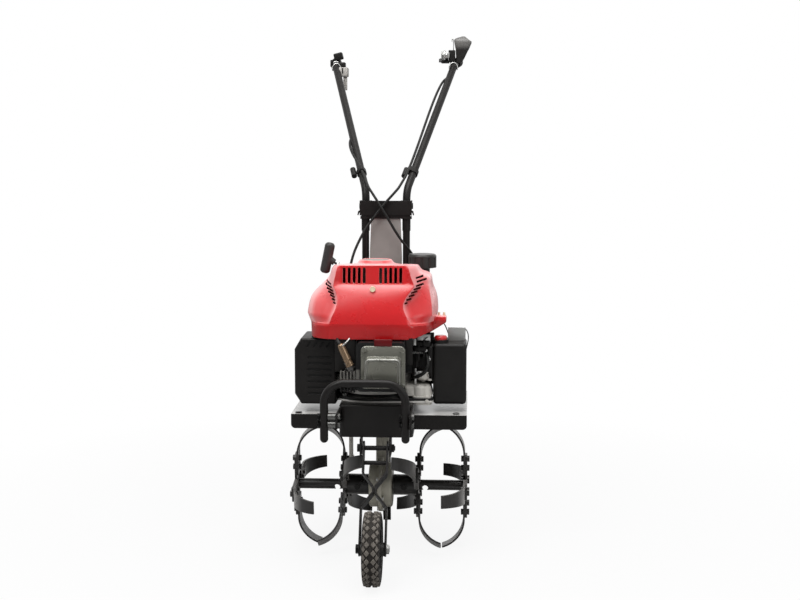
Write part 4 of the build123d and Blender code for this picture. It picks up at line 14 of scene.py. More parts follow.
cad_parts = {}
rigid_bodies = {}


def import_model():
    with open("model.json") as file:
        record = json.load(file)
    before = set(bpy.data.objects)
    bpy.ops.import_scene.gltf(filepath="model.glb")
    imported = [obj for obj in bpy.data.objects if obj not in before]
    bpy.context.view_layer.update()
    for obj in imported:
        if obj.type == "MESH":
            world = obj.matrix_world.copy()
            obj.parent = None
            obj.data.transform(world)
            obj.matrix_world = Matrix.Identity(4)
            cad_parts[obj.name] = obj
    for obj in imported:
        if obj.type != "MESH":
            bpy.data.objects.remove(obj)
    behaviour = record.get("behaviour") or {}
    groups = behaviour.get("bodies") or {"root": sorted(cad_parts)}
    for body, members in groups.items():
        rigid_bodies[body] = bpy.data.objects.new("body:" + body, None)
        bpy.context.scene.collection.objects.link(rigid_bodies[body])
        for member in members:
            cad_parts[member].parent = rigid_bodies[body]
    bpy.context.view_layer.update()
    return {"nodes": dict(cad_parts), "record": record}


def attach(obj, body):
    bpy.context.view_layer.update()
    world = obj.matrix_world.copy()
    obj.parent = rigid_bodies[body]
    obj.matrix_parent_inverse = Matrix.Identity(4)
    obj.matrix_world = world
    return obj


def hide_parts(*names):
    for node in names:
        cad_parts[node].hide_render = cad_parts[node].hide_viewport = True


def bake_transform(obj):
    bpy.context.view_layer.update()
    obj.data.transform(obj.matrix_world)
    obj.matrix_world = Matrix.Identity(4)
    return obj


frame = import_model()

# %% [markdown]
# ## The camera
# The picture was taken from the front, a little above the machine, with a long lens, so
# the far handles look hardly smaller than the near wheel. A lens of 60 mm on a 36 mm
# sensor, three metres away, gives that. It looks a little down and to the left.

# %% Camera at the photograph's angle
def linked(name, data):
    piece = bpy.data.objects.new(name, data)
    bpy.context.scene.collection.objects.link(piece)
    return piece


LOOK_DOWN, LOOK_LEFT = 6.643, 2.988  # degrees
lens_data = bpy.data.cameras.new("studio_camera")
lens_data.sensor_fit = "HORIZONTAL"
lens_data.sensor_width = 36
lens_data.lens = 60.48
camera = linked("studio_camera", lens_data)
camera.location = (0.1955, -3.0958, 0.9006)
camera.rotation_euler = (radians(90 - LOOK_DOWN), 0, radians(LOOK_LEFT))
bpy.context.scene.camera = camera
bpy.context.scene.view_settings.view_transform = "Standard"
print("camera at", tuple(camera.location))

# %% [markdown]
# ## The cables
# Two black cables run from the levers to the engine, held in clamps all the way. Each could be
# built from short straight lengths, but a real cable is one smooth line. So each is one NURBS
# spline with the route's points as control points, made round with a bevel. Both cross the
# hinge of the handlebar.

# %% Both cables as smooth tubes
CABLE_RADIUS = 0.003
CLUTCH_ROUTE = (
    (151.2, 393.6, 1096), (142.8, 365.3, 1072), (113.8, 331.4, 1047), (53.0, 78.3, 840.4),
    (31, 15, 800), (26.5, 11.5, 794), (-10, 5, 754), (-52.8, -3, 696), (-82, -23, 626),
    (-86, -37, 520), (-62, -37, 354.5))
THROTTLE_ROUTE = (
    (-98.8, 217.2, 946), (-91.1, 191.3, 924), (-99.1, 150.9, 893.6), (-61, 74.6, 841.9),
    (-40, 13, 800), (-35.5, 9.5, 794), (-6, -5, 750), (35, -8, 680), (64, 7, 646), (94, 10, 580),
    (102, 10, 460), (102, -43, 440), (98, -213, 440))


def only(*pieces):
    """Selects these pieces and no others, with the first one active."""
    layer = bpy.context.view_layer.objects
    for thing in layer:
        thing.select_set(thing in pieces)
    layer.active = pieces[0] if pieces else None


def active():
    return bpy.context.view_layer.objects.active


def tube(name, route, radius, rings=3):
    curve = bpy.data.curves.new(name, "CURVE")
    curve.dimensions = "3D"
    line = curve.splines.new("NURBS")
    line.points.add(len(route) - 1)
    for point, place in zip(line.points, route):
        point.co = (*(c / 1000 for c in place), 1)
    line.order_u = 3
    line.use_endpoint_u = True
    line.resolution_u = 10
    curve.bevel_depth = radius
    curve.bevel_resolution = rings
    curve.use_fill_caps = True
    only(linked(name, curve))
    bpy.ops.object.convert(target="MESH")
    bpy.ops.object.shade_smooth()
    return active()


clutch_cable = tube("clutch_cable", CLUTCH_ROUTE, CABLE_RADIUS, 6)
throttle_cable = tube("throttle_cable", THROTTLE_ROUTE, CABLE_RADIUS, 6)
for cable, covers in ((clutch_cable, "lower_cables"), (throttle_cable, "upper_cables")):
    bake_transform(cable)
    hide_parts(covers)
    print(cable.name, "faces", len(cable.data.polygons))

# %% [markdown]
# ## The studio
# A pale floor and a white surround, with broad soft lamps at a plain level, so that every
# colour renders about as it is written. The surround is white to the camera and to reflections
# of what stands behind the machine. The room in front is grey, as a studio is, and for the
# rest the surround is a dim fill light. The paper on the floor glows a little to the camera,
# more so further off, so that it reaches white and still takes the machine's shadow. A few
# short helpers put a node in a tree.

# %% Floor, surround and lamps
def put(tree, kind, inputs=(), **settings):
    """A new node with its settings. Each input takes a value or another node's output."""
    node = tree.nodes.new("ShaderNode" + kind)
    for label, value in settings.items():
        setattr(node, label, value)
    for label, value in inputs.items() if isinstance(inputs, dict) else enumerate(inputs):
        if isinstance(value, bpy.types.NodeSocket):
            tree.links.new(value, node.inputs[label])
        else:
            node.inputs[label].default_value = value
    return node


def calc(tree, operation, first, second, clamp=False):
    node = put(tree, "Math", (first, second), operation=operation, use_clamp=clamp)
    return node.outputs[0]


def measure(tree, operation, *vectors):
    return put(tree, "VectorMath", vectors, operation=operation).outputs["Value"]


def ramp(tree, value, low, high, to_low=0.0, to_high=1.0):
    return put(tree, "MapRange", {
        "Value": value, "From Min": low, "From Max": high, "To Min": to_low, "To Max": to_high,
    }).outputs["Result"]


def emptied(owner):
    owner.use_nodes = True
    owner.node_tree.nodes.clear()
    return owner.node_tree


ROOM_GREY, ROOM_FILL = 0.10, 0.30  # what mirrors see of the room in front, and its fill light
surround = bpy.data.worlds.new("white_surround")
bpy.context.scene.world = surround
tree = emptied(surround)
ray = put(tree, "LightPath").outputs
way = put(tree, "TexCoord").outputs["Generated"]
behind = put(tree, "SeparateXYZ", [way]).outputs["Y"]
shine = calc(tree, "MULTIPLY", ray["Is Glossy Ray"], ramp(tree, behind, -0.6, 0.3, ROOM_GREY))
seen = calc(tree, "MAXIMUM", ray["Is Camera Ray"], ray["Is Transmission Ray"])
level = calc(tree, "MAXIMUM", calc(tree, "MAXIMUM", seen, shine), ROOM_FILL)
glow = put(tree, "Background", {"Color": (1, 1, 1, 1), "Strength": level})
put(tree, "OutputWorld", {"Surface": glow.outputs[0]})

only()
bpy.ops.mesh.primitive_plane_add(size=40, location=(0, 0, 0))
floor = active()
floor.name = "floor"
floor_material = bpy.data.materials.new("floor_paper")
tree = emptied(floor_material)
paper = put(tree, "BsdfPrincipled", {"Base Color": (0.55, 0.55, 0.55, 1), "Roughness": 0.9})
white = put(tree, "Emission", {"Strength": 1.0})
away = measure(tree, "LENGTH", put(tree, "TexCoord").outputs["Object"])
ray = put(tree, "LightPath").outputs
seen = calc(tree, "MULTIPLY", ray["Is Camera Ray"], ramp(tree, away, 0.45, 1.4, 0.90))
sheet = put(tree, "MixShader", (seen, paper.outputs[0], white.outputs[0]))
put(tree, "OutputMaterial", {"Surface": sheet.outputs[0]})
floor.data.materials.append(floor_material)


def lamp(name, place, aim, size, watts):
    data = bpy.data.lights.new(name, "AREA")
    data.shape = "DISK"
    data.size = size
    data.energy = watts
    thing = linked(name, data)
    thing.location = place
    thing.rotation_euler = (Vector(aim) - Vector(place)).to_track_quat("-Z", "Y").to_euler()


lamp("key_lamp", (-1.5, -2.2, 3.0), (0, 0, 0.5), 1.6, 52)
lamp("fill_lamp", (2.2, -2.4, 1.8), (0, 0, 0.5), 1.8, 22)
lamp("top_lamp", (0.1, -0.8, 3.2), (0, -0.1, 0.5), 2.4, 92)

# %% [markdown]
# ## Shared effects
# Paint, castings and mouldings all have a fine grain, a slow drift of tone, rounded edges
# that catch the light, and a little dust where they face up. Each effect is a node group,
# built once and placed in every finish with its own values. The rounded edge comes from
# a Bevel node, which turns the shading at a corner without touching the solid; its edge mask
# also paints the edges lighter, partly as wear and partly as a painted highlight. A last group
# tells whether a point lies in a band along some way, for a piece painted only in part and
# for bands of painted shade.

# %% Node groups for grain, edges, dust and part paint
def new_group(name, **inputs):
    group = bpy.data.node_groups.new(name, "ShaderNodeTree")
    for label, value in inputs.items():
        kind = "NodeSocketFloat" if isinstance(value, float) else "NodeSocketVector"
        group.interface.new_socket(label, in_out="INPUT", socket_type=kind).default_value = value
    return group, group.nodes.new("NodeGroupInput").outputs


def deliver(group, **results):
    for label, value in results.items():
        kind = "NodeSocketVector" if value.type == "VECTOR" else "NodeSocketFloat"
        group.interface.new_socket(label, in_out="OUTPUT", socket_type=kind)
    outlet = group.nodes.new("NodeGroupOutput")
    for label, value in results.items():
        group.links.new(value, outlet.inputs[label])


def noise(group, where, scale, detail=3.0, rough=0.55):
    inputs = {"Vector": where, "Scale": scale, "Detail": detail, "Roughness": rough}
    return put(group, "TexNoise", inputs).outputs["Fac"]


grain, inlet = new_group("surface_grain", Scale=900.0)
here = put(grain, "TexCoord").outputs["Object"]
deliver(grain, Fine=noise(grain, here, inlet["Scale"], 2.0),
        Blotch=ramp(grain, noise(grain, here, 14.0, 4.0, 0.6), 0.3, 0.7))

edges, inlet = new_group("rounded_edges", Radius=0.001)
turned = put(edges, "Bevel", {"Radius": inlet["Radius"]}, samples=4).outputs["Normal"]
alike = measure(edges, "DOT_PRODUCT", turned, put(edges, "NewGeometry").outputs["Normal"])
patch = noise(edges, put(edges, "TexCoord").outputs["Object"], 60.0)
deliver(edges, Normal=turned, Edge=calc(edges, "MULTIPLY", ramp(edges, alike, 0.97, 0.78), patch))

dust, inlet = new_group("settled_dust", Amount=0.1)
where = put(dust, "TexCoord").outputs
facing = put(dust, "SeparateXYZ", [where["Normal"]]).outputs
upward = ramp(dust, facing["Z"], 0.2, 1.0)
laid = calc(dust, "MULTIPLY", upward, noise(dust, where["Object"], 45.0, 5.0, 0.65))
deliver(dust, Mask=calc(dust, "MULTIPLY", laid, inlet["Amount"]), Upward=upward)

# a band mask, used for two-tone paint and for painted shade
zone, inlet = new_group("band_of_shade_and_paint", Way=(0, 0, 1), From=0.0, To=1.0, Soft=0.002)
along = measure(zone, "DOT_PRODUCT", put(zone, "TexCoord").outputs["Object"], inlet["Way"])
sides = [calc(zone, "DIVIDE", calc(zone, "SUBTRACT", high, low), inlet["Soft"], True)
         for high, low in ((along, inlet["From"]), (inlet["To"], along))]
deliver(zone, Mask=calc(zone, "MULTIPLY", *sides))
print("groups", [g.name for g in bpy.data.node_groups])

# %% [markdown]
# ## The finishes
# One recipe serves them all: a colour that drifts between two tones, rubbed lighter along
# the edges (wear, and a painted highlight), dusty on top, with a roughness and a bump that
# follow the grain. Some finishes add a painted sheen that pales the colour at glancing angles,
# and bands in another tone, which on the cowl, the cylinder head and the crankcase are painted
# shade. The values differ: a moulded plastic is smooth, a casting is coarse and half metallic,
# and a tyre is dull. Each could have a node tree of its own, but a table of values is easier
# to tune. A dresser at the end gives a piece its finish and the body that it rides on.

# %% One recipe, many finishes
DUST, BLACK = (0.42, 0.38, 0.33), (0.009, 0.009, 0.009)


def placed(tree, group, **values):
    return put(tree, "Group", values, node_tree=group).outputs


def mixed(tree, share, first, second):
    first, second = ((*tone, 1) if isinstance(tone, tuple) else tone for tone in (first, second))
    inputs = {"Factor": share, "A": first, "B": second}
    return put(tree, "Mix", inputs, data_type="RGBA").outputs["Result"]


def finish(name, tone, drift, rough, metal=0.0, grain_scale=900.0, bump=0.1, rubbed=None,
           edge=0.0008, coat=0.0, dusty=0.02, rough_spread=0.08, coat_rough=0.12, shine=0.5,
           coat_on_top=False, bands=(), band_tone=BLACK, glance=None):
    material = bpy.data.materials.new(name)
    tree = emptied(material)
    skin = placed(tree, grain, Scale=grain_scale)
    corner = placed(tree, edges, Radius=edge)
    settled = placed(tree, dust, Amount=dusty)
    colour = mixed(tree, skin["Blotch"], tone, drift)
    # the edge mask paints the edges lighter: partly wear, partly a painted highlight
    colour = mixed(tree, corner["Edge"], colour, rubbed or drift)
    colour = mixed(tree, settled["Mask"], colour, DUST)
    # painted sheen: the colour turns towards a pale tone where the surface is seen at a glancing
    # angle, on top faces only when the coat is laid on top
    if glance:
        low, high, sheen = glance
        slanted = put(tree, "LayerWeight", {"Blend": 0.5}).outputs["Facing"]
        amount = ramp(tree, slanted, low, high)
        if coat_on_top:
            coat = settled["Upward"]
            amount = calc(tree, "MULTIPLY", amount, coat)
        colour = mixed(tree, amount, colour, sheen)
    # each band paints its tone over the colour: painted shade on the cowl, the head and the
    # crankcase
    for way, low, high, soft in bands:
        painted = placed(tree, zone, Way=way, From=low, To=high, Soft=soft)
        colour = mixed(tree, painted["Mask"], colour, band_tone)
    smooth, dull = max(0.02, rough - rough_spread), rough + rough_spread
    relief = put(tree, "Bump", {"Strength": bump, "Distance": 0.0005, "Height": skin["Fine"],
                                "Normal": corner["Normal"]})
    shader = put(tree, "BsdfPrincipled", {
        "Base Color": colour, "Metallic": metal, "Coat Weight": coat, "Coat Roughness": coat_rough,
        "Roughness": ramp(tree, skin["Blotch"], 0.0, 1.0, smooth, dull),
        "Specular IOR Level": shine, "Normal": relief.outputs["Normal"]})
    put(tree, "OutputMaterial", {"Surface": shader.outputs[0]})
    return material


UP, RIGHT = (0, 0, 1), (1, 0, 0)
CAST = dict(metal=0.35, grain_scale=520.0, bump=0.35)
MOULDED = dict(grain_scale=650.0, rubbed=(0.09, 0.087, 0.084))
RECIPES = {  # first tone, second tone, roughness, and what differs from a plain paint
    "black_paint": ((0.008, 0.0072, 0.0068), (0.012, 0.011, 0.0105), 0.38, dict(
        rubbed=(0.05, 0.048, 0.045), shine=0.17)),
    # painted reflection: the black tops turn pale grey at glancing angles, on top faces only
    "fender_paint": ((0.008, 0.0075, 0.007), (0.011, 0.010, 0.0095), 0.26, dict(
        bump=0.02, rubbed=(0.06, 0.058, 0.055), coat_rough=0.35, dusty=0.0, rough_spread=0.04,
        shine=0.12, coat_on_top=True, glance=(0.55, 0.80, (0.42, 0.41, 0.395)))),
    # painted sheen: the blades pale to grey where they are seen at glancing angles
    "tine_paint": ((0.010, 0.009, 0.0085), (0.018, 0.016, 0.0145), 0.34, dict(
        bump=0.12, rubbed=(0.14, 0.135, 0.13), shine=0.42,
        glance=(0.40, 0.95, (0.26, 0.25, 0.24)))),
    # painted sheen: the red pales to pink at glancing angles; painted shade: below the crease the
    # band is painted darker red
    "red_cover": ((0.50, 0.008, 0.011), (0.45, 0.007, 0.009), 0.30, dict(
        bump=0.03, rubbed=(0.82, 0.17, 0.17), edge=0.0022, shine=0.55,
        glance=(0.12, 0.90, (0.88, 0.40, 0.40)),
        bands=((UP, -1.0, 0.5255, 0.0012),), band_tone=(0.36, 0.0035, 0.005))),
    "panel_paint": ((0.25, 0.237, 0.223), (0.21, 0.199, 0.188), 0.42, dict(
        rubbed=(0.42, 0.40, 0.38), edge=0.003)),
    "cast_alloy": ((0.36, 0.345, 0.315), (0.27, 0.258, 0.237), 0.48, dict(
        rubbed=(0.52, 0.5, 0.47), **CAST)),
    "gear_alloy": ((0.38, 0.362, 0.30), (0.26, 0.247, 0.205), 0.44, dict(
        metal=0.35, grain_scale=420.0, bump=0.4, rubbed=(0.3, 0.29, 0.25))),
    "silver_cover": ((0.21, 0.209, 0.178), (0.145, 0.144, 0.122), 0.27, dict(
        metal=0.7, grain_scale=700.0, bump=0.12, rubbed=(0.8, 0.8, 0.76), edge=0.0015)),
    "steel": ((0.42, 0.41, 0.40), (0.34, 0.33, 0.32), 0.32, dict(
        metal=1.0, bump=0.08, rubbed=(0.6, 0.6, 0.6))),
    "zinc": ((0.56, 0.56, 0.55), (0.47, 0.47, 0.45), 0.34, dict(
        metal=0.9, rubbed=(0.7, 0.7, 0.7))),
    "iron": ((0.11, 0.105, 0.10), (0.075, 0.07, 0.066), 0.5, dict(
        metal=0.6, grain_scale=450.0, bump=0.3, rubbed=(0.22, 0.215, 0.21))),
    "bronze": ((0.42, 0.27, 0.11), (0.34, 0.215, 0.09), 0.36, dict(metal=1.0)),
    "rubber": ((0.009, 0.009, 0.009), (0.015, 0.015, 0.014), 0.48, dict(shine=0.2)),
    "tyre": ((0.125, 0.112, 0.098), (0.09, 0.081, 0.071), 0.74, dict(
        shine=0.25, grain_scale=500.0, bump=0.3, rubbed=(0.13, 0.12, 0.11), dusty=0.1)),
    "rim_plastic": ((0.035, 0.033, 0.031), (0.025, 0.024, 0.023), 0.45, dict(shine=0.25)),
    "black_plastic": ((0.008, 0.0075, 0.007), (0.012, 0.0112, 0.0108), 0.44, dict(
        grain_scale=650.0, bump=0.14, rubbed=(0.045, 0.043, 0.041), shine=0.17)),
    "grey_plastic": ((0.34, 0.325, 0.30), (0.28, 0.268, 0.25), 0.42, dict(
        bump=0.04, edge=0.0012)),
    "tank_plastic": ((0.016, 0.015, 0.0145), (0.022, 0.021, 0.02), 0.4, dict(
        edge=0.002, shine=0.25)),
    "boot": ((0.27, 0.185, 0.115), (0.15, 0.10, 0.062), 0.26, dict(
        metal=0.65, rubbed=(0.6, 0.48, 0.36))),
    "primer_red": ((0.50, 0.012, 0.014), (0.42, 0.010, 0.012), 0.3, dict(bump=0.05, coat=0.3)),
    "gold_screw": ((0.86, 0.74, 0.52), (0.74, 0.62, 0.42), 0.3, dict(metal=0.25, bump=0.08)),
    # painted shade: a darker casting, black above, below and to the right, leaving only the lower
    # fins at the left in alloy
    "head_alloy_painted_shade": ((0.16, 0.153, 0.14), (0.115, 0.11, 0.10), 0.48, dict(
        rubbed=(0.34, 0.33, 0.31), shine=0.3, bands=(
            (UP, 0.431, 1.0, 0.003), (UP, 0.0, 0.3965, 0.002), (RIGHT, -0.034, 0.2, 0.002)),
        **CAST)),
    # painted light and shade: a lighter copy of the casting, painted black above the lower wall,
    # with a dark stripe of painted shade at the flange
    "case_alloy_painted_light_and_shade": ((0.66, 0.645, 0.61), (0.52, 0.505, 0.475), 0.42, dict(
        rubbed=(0.5, 0.48, 0.45), shine=0.3,
        bands=((UP, 0.404, 1.0, 0.008), (UP, 0.3575, 0.3672, 0.0004)), **CAST)),
    "bolt_zinc": ((0.13, 0.13, 0.125), (0.09, 0.09, 0.087), 0.34, dict(
        metal=0.9, rubbed=(0.55, 0.55, 0.54),
        bands=((RIGHT, -0.4, -0.108, 0.001), (RIGHT, 0.03, 0.058, 0.001)))),
    "axle_zinc": ((0.36, 0.36, 0.35), (0.27, 0.27, 0.26), 0.38, dict(
        metal=0.9, bands=((RIGHT, -0.06, 0.0295, 0.0005),))),
    "grip_plastic": ((0.026, 0.024, 0.0235), (0.034, 0.032, 0.031), 0.40, dict(
        shine=0.3, **MOULDED)),
    "cap_plastic": ((0.022, 0.021, 0.020), (0.03, 0.0285, 0.0275), 0.36, dict(
        shine=0.35, **MOULDED)),
    # painted light: a lighter copy of cast_alloy, for castings that stand in shade
    "painted_light_casting": ((0.56, 0.54, 0.50), (0.43, 0.415, 0.38), 0.42, dict(
        metal=0.3, grain_scale=520.0, bump=0.35, rubbed=(0.7, 0.68, 0.64), shine=0.4)),
    # painted shade: a darker copy of the tyre's rubber for the grooves between the lugs
    "tyre_groove_painted_shade": ((0.016, 0.014, 0.0125), (0.024, 0.021, 0.0185), 0.8, dict(
        bump=0.2, shine=0.2)),
    # painted shade: a dark copy of the cowl's red, for the shroud in the cowl's shadow
    "shroud_painted_shade": ((0.10, 0.003, 0.0045), (0.07, 0.0025, 0.004), 0.36, dict(
        bump=0.04, shine=0.2)),
    "dome_plastic": ((0.13, 0.126, 0.12), (0.11, 0.106, 0.10), 0.34, dict(
        bump=0.0, edge=0.002, shine=0.3, bands=((UP, -1.0, 1.150, 0.012),),
        band_tone=(0.012, 0.011, 0.0105))),
}
FINISHES = {name: finish(name, *looks, **more) for name, (*looks, more) in RECIPES.items()}
OWN = {  # nodes with another finish than that of their slot
    "cylinder_head": "head_alloy_painted_shade", "crankcase": "case_alloy_painted_light_and_shade", "frame_bolts": "bolt_zinc",
    "wheel_axle": "axle_zinc", "recoil_grip": "grip_plastic", "fuel_cap": "cap_plastic",
    "muffler": "iron", "spark_plug": "iron", "carrier_pins": "black_paint",
    "arm_pivot": "black_paint", "blade_bolts": "tine_paint", "valve_cover_bolts": "silver_cover"}


def coated(piece, look):
    piece.data.materials.clear()
    piece.data.materials.append(FINISHES[look])


def dress(piece, body, slot, *covers, look=None, angle=35):
    only(piece)
    bpy.ops.object.shade_smooth_by_angle(angle=radians(angle))
    coated(piece, look or slot)
    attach(piece, body)
    if covers:
        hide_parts(*covers)


slot_of = {part["node"]: part["material_slot"] for part in frame["record"]["subparts"]}
for name, thing in frame["nodes"].items():
    coated(thing, OWN.get(name, slot_of[name]))
for cable in (clutch_cable, throttle_cable):
    coated(cable, "rubber")
print("finished nodes", len(slot_of))

# %% [markdown]
# ## The engine cowl
# The red cowl is one glossy moulding. Its front bulges forward below a recessed grille, and
# a ridge on each side parts the front from a shoulder that stands further back, with a row
# of small louvres in the valley between them. It could be carved from a block, but a stack
# of outlines is easier to steer. So each row of a flat grid is laid on one outline, from the
# lower edge up to the rim of the starter, and the seam is closed. Creased edges keep the
# ridges crisp when a Subdivision Surface rounds the rest.

# %% The cowl's outlines, front to back
# Each row: height, then 24 points (X, Y) that start at the middle of the front and go round
# by the left shoulder, the back and the right shoulder. All in millimetres, Y from COWL_Y.
COWL_Y = -153.0
LOWEST = (
    (-12, -169), (-60, -168.5), (-92, -166), (-100, -164), (-106, -161), (-120, -152),
    (-134, -138), (-143, -108), (-147, -40), (-148, 40), (-134, 76), (-60, 92), (-8, 92), (50, 92),
    (94, 90), (122, 60), (124, 0), (124, -80), (112, -134), (101, -147), (84, -159), (74, -164),
    (66, -166), (30, -168.5))
COWL_ROWS = (
    (493, LOWEST),
    (521, (*LOWEST[:7], (-144, -108), (-148, -40), (-149, 40), (-135, 76), *LOWEST[11:])),
    (526, ((-12, -168.5), (-60, -168), (-90, -165.5), (-98, -163), (-103, -157), (-116, -147),
     (-131, -134), (-147, -104), (-152, -40), (-152, 40), (-137, 76), (-60, 92), (-8, 92),
     (50, 92), (94, 90), (123, 58), (125, 0), (125, -80), (112, -128), (99, -141),
     (78, -153), (70, -163), (63, -165.5), (30, -168))),
    (540, ((-12, -167), (-58, -166.5), (-86, -164.5), (-93, -163.5), (-98, -154), (-117, -147),
     (-138, -132), (-153, -102), (-156, -40), (-156, 40), (-141, 76), (-60, 91), (-8, 91),
     (50, 91), (95, 90), (125, 58), (127, 0), (127, -80), (117, -128), (98, -142),
     (70, -152), (64, -162.5), (57, -164), (28, -166.5))),
    (560, ((-13, -161.5), (-52, -161), (-76, -159), (-83, -158.5), (-87, -145), (-112, -139),
     (-136, -124), (-150, -98), (-153, -40), (-153, 40), (-138, 76), (-60, 90), (-8, 90),
     (50, 90), (94, 88), (124, 56), (126.5, 0), (126, -78), (116, -121), (92, -135),
     (60, -143), (54, -157.5), (47, -158.5), (24, -161))),
    (577, ((-12, -154), (-50, -153.5), (-75, -152), (-82.5, -151.5), (-87, -135), (-107, -128),
     (-131, -113), (-145, -90), (-148, -40), (-147, 40), (-130, 74), (-58, 87), (-8, 87),
     (50, 87), (90, 84), (120, 54), (123, 0), (122, -76), (113, -112), (93, -124),
     (66, -132), (60, -150.5), (52, -151.5), (24, -153.5))),
    (591, ((-10, -146), (-50, -145.5), (-78, -144.5), (-86, -144.5), (-91, -127), (-103, -119),
     (-119, -104), (-131, -82), (-134, -38), (-133, 38), (-118, 70), (-56, 82), (-8, 82),
     (48, 82), (86, 79), (114, 52), (116, 0), (116, -74), (110, -104), (97, -115),
     (79, -125), (71, -143.5), (62, -144), (25, -145.5))),
    (600, ((-8, -139.5), (-50, -139), (-83, -138.5), (-91, -140), (-96, -123), (-104, -113),
     (-113, -98), (-122, -78), (-124, -36), (-123, 36), (-108, 68), (-54, 78), (-8, 78),
     (46, 78), (82, 75), (111, 50), (114.5, 0), (114.5, -72), (109, -98), (99, -107),
     (86, -120), (78, -139), (69, -138), (30, -139))),
    (605, ((-8, -132), (-50, -132), (-83, -131.5), (-92.5, -137.5), (-98, -121), (-103, -110),
     (-109, -94), (-116, -74), (-118, -34), (-117, 34), (-102, 66), (-52, 75), (-8, 75),
     (45, 75), (80, 72), (110, 48), (114, 0), (114, -70), (108.5, -94), (101, -102),
     (87, -118), (79, -136.5), (69, -131.5), (30, -132))),
    (619, ((-8, -130.5), (-50, -130.5), (-79, -130), (-89, -135.5), (-96, -119), (-101, -106),
     (-104, -90), (-106, -70), (-107, -32), (-106, 32), (-95, 60), (-50, 69), (-8, 69),
     (44, 69), (77, 65), (109, 44), (113, 0), (113, -66), (107, -88), (98, -98),
     (81, -116), (72.5, -134.5), (62, -130), (28, -130.5))),
    (626, ((-8, -129.5), (-50, -129.5), (-78, -129), (-87.5, -134.5), (-95, -118), (-100, -104),
     (-102.5, -88), (-104, -68), (-104, -31), (-103, 30), (-92, 56), (-49, 65), (-8, 65),
     (43, 65), (74, 60), (88, 40), (92, 0), (92, -64), (90, -86), (88, -97),
     (79, -115), (70.5, -133.5), (60, -129), (27, -129.5))),
    (639, ((-8, -128), (-50, -128), (-76, -127.5), (-85, -132), (-93, -116), (-98, -101),
     (-100, -86), (-101, -66), (-101, -30), (-100, 28), (-88, 50), (-48, 58), (-8, 58),
     (42, 58), (70, 54), (84, 36), (87, 0), (87, -64), (85, -86), (83, -97),
     (76, -114), (67, -131), (58, -127.5), (26, -128))),
    (645, ((-8, -127.5), (-50, -127.5), (-77, -127), (-82, -126), (-89, -112), (-93, -97),
     (-95, -84), (-96, -64), (-96, -30), (-95, 26), (-84, 46), (-46, 54), (-8, 54),
     (40, 54), (66, 50), (80, 34), (83, 0), (83, -62), (81, -82), (78, -95),
     (71, -110), (64, -125), (59, -127), (26, -127.5))),
)
STARTER_X, STARTER_Y = -8.0, -40.0
RIM = (  # height, reach from the starter's middle
    (646.0, 88.0), (646.5, 52.0), (643.0, 40.5), (649.5, 37.0), (650.6, 35.5), (650.6, 31.5),
    (649.8, 30.3), (644.5, 30.2))
ROUND_REACH, TOP_SHARE = 60.0, 0.95  # rings wider than this keep inside the last outline
rim_rows = []
for height, reach in RIM:
    ring = []
    for x, y in COWL_ROWS[-1][1]:
        out_x, out_y = x - STARTER_X, y - STARTER_Y
        far = hypot(out_x, out_y)
        step = min(reach, TOP_SHARE * far) if reach > ROUND_REACH else reach
        ring.append((STARTER_X + out_x * step / far, STARTER_Y + out_y * step / far))
    rim_rows.append((height, ring))
cowl_rows = (*COWL_ROWS, *rim_rows)
print("cowl rows", len(cowl_rows))

# %% Lay a grid on the outlines and close its seam
AROUND = 24
TOP_FALL = {10: 0.03, 11: 0.06, 12: 0.07, 13: 0.07, 14: 0.07}  # row: how the top falls back
FALL_FROM = -127.0
CORNER_LIFT, LIFT_FROM, LIFT_RUN = 17.0, 78.0, 44.0  # the lower edge climbs on the right
RIDGES, PANEL_SIDES, SHOULDERS, FRONT = (3, 21), (2, 22), (6, 18), {22, 23, 0, 1, 2}  # columns
BAND, SHOULDER_FOOT, SHOULDER_HEAD, PANEL_FOOT, LIP = 1, 3, 7, 8, 12  # rows


def lift_at(x):
    return CORNER_LIFT * min(max((x - LIFT_FROM) / LIFT_RUN, 0), 1)


def crease_of(edge):
    (row, column), (next_row, next_column) = (place_of[v] for v in edge.vertices)
    if column == next_column:
        low, high = min(row, next_row), max(row, next_row)
        top = LIP if column in RIDGES else SHOULDER_HEAD if column in SHOULDERS else 0
        if BAND < low and high <= top:
            return 0.85
        return 0.8 if column in PANEL_SIDES and PANEL_FOOT <= low < LIP else 0.0
    ends = {column, next_column}
    if row in (0, len(cowl_rows) - 1):
        return 1.0
    if row in (BAND, BAND + 1):
        return 0.9
    if row == PANEL_FOOT and ends <= FRONT:
        return 0.8
    if row == LIP or row in (SHOULDER_FOOT, SHOULDER_HEAD) and not ends & FRONT:
        return 0.7
    return 0.0


def close_up(threshold=0.00002):
    bpy.ops.mesh.select_all(action="SELECT")
    bpy.ops.mesh.remove_doubles(threshold=threshold)
    bpy.ops.mesh.normals_make_consistent(inside=False)
    bpy.ops.object.mode_set(mode="OBJECT")


only()
bpy.ops.mesh.primitive_grid_add(x_subdivisions=AROUND, y_subdivisions=len(cowl_rows) - 1, size=1)
cowl = active()
cowl.name = "cowl_shell"
place_of = {}
for vertex in cowl.data.vertices:
    row, column = divmod(vertex.index, AROUND + 1)
    column %= AROUND
    place_of[vertex.index] = row, column
    height, ring = cowl_rows[row]
    x, y = ring[column]
    height -= TOP_FALL.get(row, 0) * (y - FALL_FROM)
    if row == 0:
        height += lift_at(x)
    vertex.co = (x / 1000, (y + COWL_Y) / 1000, height / 1000)
creases = cowl.data.attributes.new("crease_edge", "FLOAT", "EDGE")
creases.data.foreach_set("value", [crease_of(edge) for edge in cowl.data.edges])
bpy.ops.object.mode_set(mode="EDIT")
close_up(0.00005)
print("cowl points", len(cowl.data.vertices))

